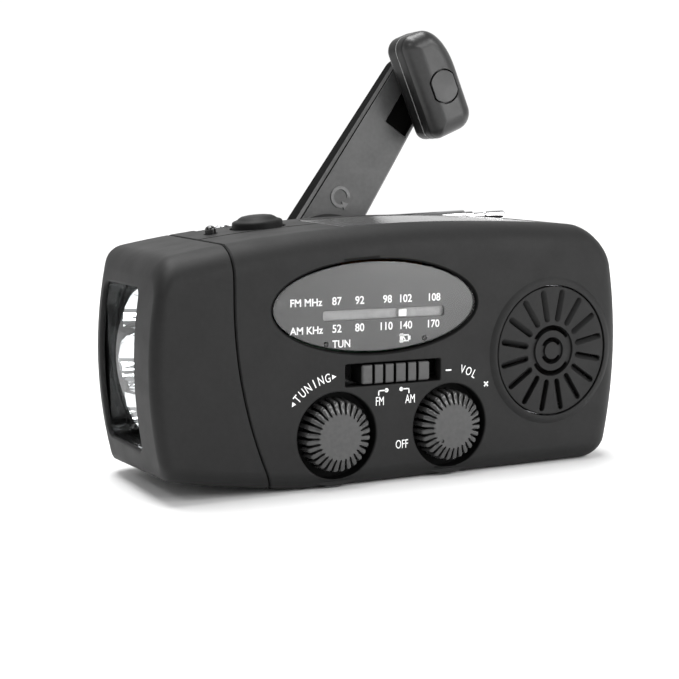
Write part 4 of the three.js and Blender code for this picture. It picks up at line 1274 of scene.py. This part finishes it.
def knob(node, name, body, with_dot):
    """Knob with a flat face and ribs that slope outwards from it, then run straight down."""
    high = extent(node)[1]
    centre = middle(node)
    face_y, base_y = FRONT_Y + KNOB_PROFILE[0][1], FRONT_Y + KNOB_PROFILE[-1][1]
    count = KNOB_RIBS * RIB_POINTS
    rings = []
    for crest, depth, rib in KNOB_PROFILE:
        ring = []
        for j in range(count):
            t = 2 * math.pi * j / count
            radius = crest - rib * (1 - rib_height((j % RIB_POINTS) / RIB_POINTS))
            ring.append((centre.x + radius * math.cos(t), FRONT_Y + depth, centre.z + radius * math.sin(t)))
        rings.append(ring)
    wheel = loft("knob", rings)
    shaft_r = 3.2
    shaft = [(shaft_r, base_y - 0.5), (shaft_r, high.y)]
    fused(wheel, turned("shaft", (centre.x, centre.z), shaft, along_y, 32))
    if with_dot:
        dimple = ellipse(centre.x - 3.1, centre.z - 3.3, 0.42, count=24)
        levels = [(face_y + d, offset) for d, offset in mouth(0.12, 0.35, 1.0)]
        cut(wheel, stack("dimple", dimple, levels, along_y))
    obj = piece(wheel, name, body, "knob_black", [node], 40)

    # Painted shade: the gaps between the ribs, outside the face, are laid near black.
    def shaded_rib_gap(place, normal):
        x, z = place.x - centre.x, place.z - centre.z
        share = math.atan2(z, x) / (2 * math.pi) * KNOB_RIBS % 1
        return math.hypot(x, z) > KNOB_FACE_R - 0.45 and abs(share - 0.5) * 2 > 0.66

    painted(obj, SHADE_BLACK, shaded_rib_gap)


# ------------------------------------------------------------------ torch
LED_HEIGHTS = [middle(f"led_{i}").z for i in range(1, 4)]
CUP_R = 6.1
CUP_BASE_R = 2.9
CUP_DEPTH = 7.8
CUP_WIDER = 0.55
FACETS = 10
LENS_BOW = {"x": -61.0, "z": 28.8, "span": 86}
LED_R = 2.5
LED_STEM = 3.9
POWER_LED_R = 1.3


def lens_front(z):
    """Bowed front of the lens, further out at the middle than at its ends."""
    return LENS_BOW["x"] + (z - LENS_BOW["z"]) ** 2 / LENS_BOW["span"]


def bowed_slab(name, node, front, back):
    """Solid of a node's width and height between two faces given by the height."""
    low, high = extent(node)
    cells = 40
    rings = []
    for i in range(cells + 1):
        z = low.z + (high.z - low.z) * i / cells
        half = WINDOW_HALF - round_off(1.8, min(z - low.z, high.z - z))
        y0, y1 = WINDOW_Y - half, WINDOW_Y + half
        rings.append([(front(z), y0, z), (front(z), y1, z), (back(z), y1, z), (back(z), y0, z)])
    return loft(name, rings)


def reflector():
    """Chromed block with a faceted bowl round each LED; the bowls meet in upright cusps."""
    high = extent("reflector")[1]
    shell = bowed_slab("reflector", "reflector", lambda z: lens_front(z) + 1.6, lambda z: high.x)
    floor_x = high.x + 0.2
    count = FACETS * 6
    for z in LED_HEIGHTS:
        cup = []
        for i in range(17):
            share = i / 16
            radius = CUP_BASE_R + (CUP_R - CUP_BASE_R) * math.sqrt(share)
            wide = 1 + CUP_WIDER * share ** 0.7
            ring = []
            for j in range(count):
                t = 2 * math.pi * j / count
                facet = radius * (1 + 0.035 * abs(math.cos(FACETS / 2 * t)))
                ring.append((floor_x - CUP_DEPTH * share, WINDOW_Y + wide * facet * math.cos(t),
                             z + facet * math.sin(t)))
            cup.append(ring)
        cup.append([(x - 8, y, height) for x, y, height in cup[-1]])
        cut(shell, loft("cup", cup))
    piece(shell, "torch_reflector", "case", "chrome", ["reflector"], 30)


def torch_lens():
    lens = bowed_slab("lens", "torch_lens", lens_front, lambda z: lens_front(z) + 1.0)
    piece(lens, "torch_glass", "case", "clear_lens", ["torch_lens"], 40)


def torch_leds():
    """Domed LEDs on the axes of the bowls."""
    for i, z in enumerate(LED_HEIGHTS, 1):
        high = extent(f"led_{i}")[1]
        dome = [(LED_R, 0.0), (LED_R, LED_STEM)]
        dome += [(LED_R * math.cos(t), LED_STEM + LED_R * math.sin(t)) for t in sweep(8)[1:]]
        rings = [[(high.x - d, WINDOW_Y + r * math.cos(t), z + r * math.sin(t))
                  for t in sweep(48, 2 * math.pi)[:-1]] for r, d in dome]
        piece(loft("led", rings), f"torch_led_{i}", "case", "led_clear", [f"led_{i}"], 60)


# Two tiers of the torch button: rows of (radius, rise above the case top).
BUTTON_PROFILE = [(6.1, -3.2), (6.1, 1.0), (6.0, 1.35), (5.7, 1.6), (5.2, 1.75), (4.75, 1.95), (4.3, 2.3),
                  (3.7, 2.6), (2.6, 2.78), (0.4, 2.85)]


def torch_button():
    top = top_at(BUTTON.x, BUTTON.y)
    profile = [(radius, top + rise) for radius, rise in BUTTON_PROFILE]
    button = tilted_to_top(turned("button", (BUTTON.x, BUTTON.y), profile, along_z), BUTTON.x, BUTTON.y)
    piece(button, "torch_key", "torch_press", "rubber_black", ["torch_button"], 50)


def power_led():
    top = top_at(POWER_LED.x, POWER_LED.y)
    dome = [(POWER_LED_R, top - 6.0), (POWER_LED_R, top + 0.9)]
    dome += [(POWER_LED_R * math.cos(t), top + 0.9 + 1.0 * math.sin(t)) for t in sweep(8)[1:-1]]
    light = turned("light", (POWER_LED.x, POWER_LED.y), dome, along_z, 48)
    light = tilted_to_top(light, POWER_LED.x, POWER_LED.y)
    piece(light, "power_lamp", "case", "gloss_black", ["power_led"], 60)


# ------------------------------------------------------------------ solar panel
def solar_panel():
    cell_low, cell_high = extent("solar_cell")
    cell = arched_plate("cell", cell_low, cell_high, 0.6, 2.0, -1.5)
    piece(cell, "solar_film", "case", "solar_blue", ["solar_cell"])
    cover = arched_plate("cover", PANEL_LOW, PANEL_HIGH, 1.0, 1.2, 0.0, 0.25)
    piece(cover, "solar_glass", "case", "clear_lens", ["solar_cover"], material=SATIN_GLASS)


# ------------------------------------------------------------------ back
def battery_cover():
    low, high = extent("battery_cover")
    outline = rounded(low.x, high.x, low.z, high.z, 1.8)
    levels = [(low.y + WALL - d, offset) for d, offset in pad(WALL, 0.35)]
    cover = stack("cover", outline, levels, along_y)
    for i in range(5):
        z = (low.z + high.z) / 2 - 4.0 + 2.0 * i
        outline = rounded(high.x - 9.0, high.x - 3.0, z - 0.45, z + 0.45, 0.4)
        cut(cover, stack("grip", outline, mouth(0.25, 0.7), from_back))
    centre = (low.z + high.z) / 2
    latch = rounded(low.x + 3.0, low.x + 4.4, centre - 4.5, centre + 4.5, 0.5)
    cut(cover, stack("latch", latch, mouth(0.3, 1.2), from_back))
    piece(cover, "battery_door", "case", "case_black", ["battery_cover"])


def case_screws():
    for i, head in enumerate(SCREW_HEADS, 1):
        low, high = extent(f"case_screw_{i}")
        top = high.y
        profile = [(1.1, low.y), (1.1, top - 1.4), (2.4, top - 1.4), (2.4, top - 0.7), (2.2, top - 0.35),
                   (1.7, top - 0.12), (0.9, top)]
        screw = turned("screw", (head.x, head.z), profile, along_y, 48)
        for long_x, long_z in ((1.4, 0.28), (0.28, 1.4)):
            cut(screw, block("drive", (head.x - long_x, top - 0.8, head.z - long_z),
                             (head.x + long_x, top + 1.0, head.z + long_z), 0.1))
        piece(screw, f"screw_{i}", "case", "steel", [f"case_screw_{i}"])


def socket(node, name, tongue):
    """Open metal shell with a black tongue of contacts inside."""
    low, high = extent(node)
    wall = 0.4
    outline = rounded(low.x, high.x, low.z, high.z, 0.5)
    levels = [(high.y - d, offset) for d, offset in pad(high.y - low.y, 0.15)]
    shell = stack("shell", outline, levels, along_y)
    inner = rounded(low.x + wall, high.x - wall, low.z + wall, high.z - wall, 0.3)
    cut(shell, stack("hollow", inner, [(high.y + 2, 0.0), (low.y + 1.0, 0.0)], along_y))
    piece(shell, name, "case", "steel", [node])
    x0, x1, z0, z1 = tongue
    contacts = block("tongue", (x0, low.y + 1.1, z0), (x1, high.y - 1.2, z1), 0.2)
    piece(contacts, name + "_tongue", "case", "gloss_black")


def sockets():
    low, high = extent("usb_socket")
    socket("usb_socket", "usb_shell", (low.x + 1.2, high.x - 1.2, high.z - 2.6, high.z - 0.9))
    low, high = extent("charge_socket")
    centre = (low.z + high.z) / 2
    socket("charge_socket", "charge_shell", (low.x + 1.3, high.x - 1.3, centre - 0.1, centre + 0.45))


# ------------------------------------------------------------------ crank
ARM_Y = extent("crank_arm")[0].y
ARM_ROOT = 8.2
ARM_TIP = 4.8
ARM_LENGTH = 67.5
ARM_ROOT_HALF = 9.3
ARM_TIP_HALF = 7.3
ARM_CORNER = 4.0
PIN_Y = FOLD.y
HUB_R = 13.2
EAR_R = 3.6
ARM_RECESS = (49.2, 90.0, -6.6, 0.9)
TURN_MARK = {"at": (24.0, 0, 1.5), "outer": 2.95, "inner": 2.05, "tip_r": 2.45, "start": -60, "turn": 290,
             "rise": 0.28}
GRIP_AT = (62.5, -3.1)
GRIP_BOX = {"x0": -13.0, "x1": 15.9, "z0": -6.8, "z1": 7.1}
GRIP_CORNERS = [{"x": 1, "z": -1, "rx": 12.4, "rz": 6.9}, {"x": 1, "z": 1, "rx": 3.8, "rz": 3.8},
                {"x": -1, "z": 1, "rx": 3.0, "rz": 3.0}, {"x": -1, "z": -1, "rx": 4.8, "rz": 4.8}]
GRIP_SPLIT = 30.6
GRIP_FRONT_Y = 24.0
GRIP_BACK_Y = 37.0


def crank_frame(obj):
    """From the crank's frame, +X along the arm from the crank axis, to the radio's."""
    return moved(obj, Matrix.Translation((HUB.x, 0, HUB.z)) @ Matrix.Rotation(-CRANK_ANGLE, 4, "Y"))


def grip_frame(obj):
    turn = Matrix.Rotation(-GRIP_TILT, 4, "Y")
    return crank_frame(moved(obj, Matrix.Translation((GRIP_AT[0], 0, GRIP_AT[1])) @ turn))


def arm_outline(offset):
    """Arm seen from the front, mirrored about its own line, drawn in by an offset."""
    reach = ARM_LENGTH + offset
    corner = ARM_CORNER + offset
    side = [(-ARM_ROOT / 2 * math.cos(t) * 0.995, ARM_ROOT_HALF) for t in sweep(12)[:-1]]
    for i in range(25):
        x = (reach - corner) * i / 24
        side.append((x, ARM_ROOT_HALF + (ARM_TIP_HALF - ARM_ROOT_HALF) * x / reach))
    top = side[-1][1]
    for t in sweep(8)[1:]:
        side.append((reach - corner + corner * math.sin(t), top - corner * (1 - math.cos(t))))
    drawn = [(x, z + offset) for x, z in side]
    return [(x, -z) for x, z in drawn] + drawn[::-1]


def arm_place(a, b, share):
    if a < 0:
        return (a, PIN_Y + (2 * share - 1) * math.sqrt(max((ARM_ROOT / 2) ** 2 - a ** 2, 0)), b)
    thickness = ARM_ROOT + (ARM_TIP - ARM_ROOT) * a / ARM_LENGTH
    return (a, ARM_Y + share * thickness, b)


def turn_mark():
    """Embossed arrow round an arc: which way the crank may be turned."""
    start, turn = TURN_MARK["start"], TURN_MARK["turn"]
    turns = [math.radians(start + turn * i / 28) for i in range(29)]
    arc = [(TURN_MARK["outer"] * math.cos(t), TURN_MARK["outer"] * math.sin(t)) for t in turns]
    arc += [(TURN_MARK["inner"] * math.cos(t), TURN_MARK["inner"] * math.sin(t)) for t in turns[::-1]]
    low, high = ARM_Y - TURN_MARK["rise"], ARM_Y + 0.5
    ring = loft("arc", [[(x, y, z) for x, z in arc] for y in (low, high)])
    end = math.radians(start + turn)
    ahead = Vector((-math.sin(end), math.cos(end)))
    across = Vector((math.cos(end), math.sin(end)))
    tip = across * TURN_MARK["tip_r"]
    head = [tip + ahead * 1.7, tip + across * 1.15, tip - across * 1.15]
    arrow = loft("arrow", [[(p.x, y, p.y) for p in head] for y in (low, high)])
    return moved(fused(ring, arrow), Matrix.Translation(TURN_MARK["at"]))


def crank_arm():
    """Tapered arm with a raised face, a narrow step round it, a recess under the grip and a turning mark.
    The step is smoother than the face and painted a lighter grey as a highlight, which the turning mark's
    front shares; the walls, the recess and the back are matt and painted near black as shade."""
    levels = [(0.0, -0.95), (0.01, -0.85), (0.12, -0.75), (0.2, 0.0), (0.9, 0.0), (0.96, -0.2), (1.0, -0.7)]
    arm = stack("arm", arm_outline, levels, arm_place, strips=True)
    recess = rounded(*ARM_RECESS, 0.4)
    into_arm = [(ARM_Y - 2, 0.3), (ARM_Y, 0.3), (ARM_Y + 0.3, 0.0), (ARM_Y + 1.6, 0.0)]
    cut(arm, stack("recess", recess, into_arm, along_y))
    cut(arm, stack("pin_bore", ellipse(0, PIN_Y, 1.8, count=32), [(-20, 0.0), (20, 0.0)], along_z))
    cut(arm, turned("grip_bore", GRIP_AT, [(2.1, 30), (2.1, 50)], along_y, 48))
    fused(arm, turn_mark())
    obj = piece(crank_frame(arm), "arm_shell", "arm", "crank_grey", ["crank_arm"])
    # Painted shade: the arm's walls, recess and back are laid near black.
    painted(obj, ARM_SHADE_BLACK, lambda place, normal: abs(normal.y) < 0.25 or place.y > ARM_Y + 1.2)
    # Painted highlight: the step's bevel is laid a lighter grey, and the turning mark's front takes it too.
    painted(obj, ARM_HIGHLIGHT_GREY, lambda place, normal: 0.25 <= -normal.y < 0.9 or place.y < ARM_Y - 0.1)


def crank_hub():
    """Disc on the turret's end with two ears, and the pin through them that the arm folds on."""
    face = TURRET_Y + 0.5
    back = ARM_Y - 0.4
    profile = [(12.8, face), (HUB_R, face + 0.3)]
    profile += [(HUB_R - 0.5 * (1 - math.cos(t)), back - 0.5 * (1 - math.sin(t))) for t in sweep(5)]
    hub = turned("hub", (0, 0), profile, along_y, 128)
    for side in (-1, 1):
        inner, outer = ARM_ROOT_HALF + 0.4, ARM_ROOT_HALF + 3.0
        ear = [(EAR_R * math.cos(t), PIN_Y + EAR_R * math.sin(t)) for t in sweep(24, math.pi)]
        ear += [(-EAR_R, ARM_Y - 1.5), (EAR_R, ARM_Y - 1.5)]
        rings = [[(x, y, side * (inner + d)) for x, y in ear] for d in (0.0, outer - inner)]
        fused(hub, loft("ear", rings))
    cut(hub, stack("bore", ellipse(0, PIN_Y, 1.7, count=32), [(-20, 0.0), (20, 0.0)], along_z))
    piece(crank_frame(hub), "hub_shell", "crank", "crank_grey", ["crank_hub"])
    end = ARM_ROOT_HALF + 2.8
    pin = [(-end, -0.3), (-end + 0.3, 0.0), (end - 0.3, 0.0), (end, -0.3)]
    pin = stack("pin", ellipse(0, PIN_Y, 1.4, count=48), pin, along_z)
    piece(crank_frame(pin), "fold_rod", "crank", "steel", ["fold_pin"])


def grip_outline(offset):
    """Grip seen from the front, long along X: one broad round end and one tight one."""
    steps = 20
    ring = []
    for i, corner in enumerate(GRIP_CORNERS):
        rx, rz = max(corner["rx"] + offset, 0.1), max(corner["rz"] + offset, 0.1)
        x = GRIP_BOX["x1"] - corner["rx"] if corner["x"] > 0 else GRIP_BOX["x0"] + corner["rx"]
        z = GRIP_BOX["z1"] - corner["rz"] if corner["z"] > 0 else GRIP_BOX["z0"] + corner["rz"]
        if corner["rx"] + offset < 0.1:
            x += (corner["rx"] + offset - 0.1) * corner["x"]
        if corner["rz"] + offset < 0.1:
            z += (corner["rz"] + offset - 0.1) * corner["z"]
        for k in range(steps + 1):
            t = math.pi / 2 * (i - 1 + k / steps)
            ring.append((x + rx * math.cos(t), z + rz * math.sin(t)))
    return ring


def grip_half(name, node, levels):
    half = stack("grip", grip_outline, levels, along_y)
    cut(half, turned("bore", (0, 0), [(2.2, 20), (2.2, 40)], along_y, 48))
    if name == "grip_front_shell":
        cut(half, turned("well", (0, 0), [(3.5, 20), (3.5, 27.6)], along_y, 48))
        seat = flat_sided(4.7, 4.1)
        levels = [(GRIP_FRONT_Y + d, offset) for d, offset in mouth(0.1, 1.3, 1.5)]
        cut(half, stack("seat", seat, levels, along_y))
    obj = piece(grip_frame(half), name, "grip", "gloss_black", [node], 40, GRIP_BLACK)
    # Painted shade: the grip's side walls, turned away from the front, are laid darker.
    painted(obj, GRIP_SIDE_SHADE, lambda place, normal: abs(normal.y) < 0.3)


def flat_sided(radius, flat):
    """Circle with two flats, across Z."""

    def points(offset):
        ring = []
        for x, z in ellipse(0, 0, radius, count=96)(offset):
            ring.append((x, max(min(z, flat + offset), -flat - offset)))
        return ring

    return points


def crank_grip():
    parting = [(0.5, 0.0), (0.2, -0.04), (0.08, -0.14)]
    front = [(GRIP_FRONT_Y + 0.9 * d, offset) for d, offset in quarter(4.6, 14)]
    front += [(GRIP_SPLIT - back, offset) for back, offset in parting]
    grip_half("grip_front_shell", "grip_front", front)
    back = [(GRIP_BACK_Y - d, offset) for d, offset in quarter(3.0, 12)]
    back += [(GRIP_SPLIT + ahead, offset) for ahead, offset in parting]
    grip_half("grip_rear_shell", "grip_rear", back)
    # Painted highlight: a thin grey ring at the parting line stands in for the light its edges catch.
    seam = stack("seam", grip_outline, [(GRIP_SPLIT - 0.1, 0.03), (GRIP_SPLIT + 0.1, 0.03)], along_y)
    cut(seam, stack("core", grip_outline, [(GRIP_SPLIT - 1.0, -1.0), (GRIP_SPLIT + 1.0, -1.0)], along_y))
    piece(grip_frame(seam), "grip_seam_highlight", "grip", "gloss_black", material=SEAM_HIGHLIGHT)
    disc = [(GRIP_FRONT_Y - 0.05 + d, offset) for d, offset in pad(1.0, 0.12)]
    cap = stack("cap", flat_sided(4.28, 3.68), disc, along_y)
    piece(grip_frame(cap), "grip_button", "grip", "gloss_black", ["grip_cap"], material=GRIP_BLACK)


# ------------------------------------------------------------------ antenna
SECTIONS = [
    {"r": 1.85, "bore": 1.5, "x0": 4.9, "x1": 69.8},
    {"r": 1.35, "bore": 1.0, "x0": 6.0, "x1": 72.6},
    {"r": 0.85, "bore": 0.55, "x0": 7.0, "x1": 76.4},
    {"r": 0.4, "bore": 0.0, "x0": 8.0, "x1": 78.0},
]
SECTION_BODIES = ["antenna", "antenna_tube_2", "antenna_tube_3", "antenna_tube_4"]


def antenna_frame(obj):
    angle = math.atan2(ANTENNA_AXIS.z, ANTENNA_AXIS.x)
    return moved(obj, Matrix.Translation(ANTENNA) @ Matrix.Rotation(-angle, 4, "Y"))


def along_x(a, b, depth):
    return (depth, a, b)


def antenna_sections():
    for i, (section, body) in enumerate(zip(SECTIONS, SECTION_BODIES), 1):
        r, bore, x0, x1 = section["r"], section["bore"], section["x0"], section["x1"]
        edge = min(0.15, r / 3)
        profile = [(r - edge, x0), (r, x0 + edge), (r, x1 - edge), (r - edge, x1)]
        if bore == 0.0:
            profile = [(r, x0), (r, x1 - 1.2), (0.95, x1 - 1.2), (1.05, x1 - 1.05)]
            profile += [(1.05 - 0.7 * (1 - math.cos(t)), x1 + 4.4 + 0.9 * math.sin(t)) for t in sweep(8)]
        tube = turned("tube", (0, 0), profile, along_x, 40)
        if bore > 0:
            cut(tube, turned("bore", (0, 0), [(bore, x0 + 0.6), (bore, x1 + 1)], along_x, 32))
        piece(antenna_frame(tube), f"antenna_tube_{i}_shell", body, "chrome", [f"antenna_section_{i}"], 40)


def antenna_knuckle():
    barrel = turned("barrel", (0, 0), [(1.6, -1.3), (1.8, -1.1), (1.8, 1.1), (1.6, 1.3)], along_y, 48)
    fused(barrel, block("neck", (0.0, -1.25, -1.25), (3.2, 1.25, 1.25), 0.3))
    fused(barrel, turned("collar", (0, 0), [(1.6, 2.8), (1.9, 3.0), (1.9, 4.4), (1.7, 4.6)], along_x, 40))
    cut(barrel, turned("bore", (0, 0), [(1.1, -4), (1.1, 4)], along_y, 32))
    piece(antenna_frame(barrel), "antenna_joint", "antenna", "chrome", ["antenna_knuckle"])


def antenna_bracket():
    """Two thin ears that hold the knuckle between them."""
    low, high = extent("antenna_bracket")
    ears = []
    for y0, y1 in ((low.y, low.y + 0.45), (high.y - 0.45, high.y)):
        ear = turned("ear", (ANTENNA.x, ANTENNA.z), [(1.7, y0), (1.7, y1)], along_y, 40)
        foot = slab("foot", (ANTENNA.x - 1.7, y0, low.z), (ANTENNA.x + 1.7, y1, ANTENNA.z))
        ears.append(fused(ear, foot))
    piece(merged("bracket", ears), "antenna_ears", "case", "steel", ["antenna_bracket"])


# ------------------------------------------------------------------ the scene
make_camera()
make_floor()
make_light()
dress_cad_nodes()
case_shells()
front_marks()
build_dial()
speaker_grille()
knob("tuning_knob", "tuning_wheel", "tuning", False)
knob("volume_knob", "volume_wheel", "volume", True)
reflector()
torch_lens()
torch_leds()
torch_button()
power_led()
solar_panel()
battery_cover()
case_screws()
sockets()
crank_arm()
crank_hub()
crank_grip()
antenna_sections()
antenna_knuckle()
antenna_bracket()
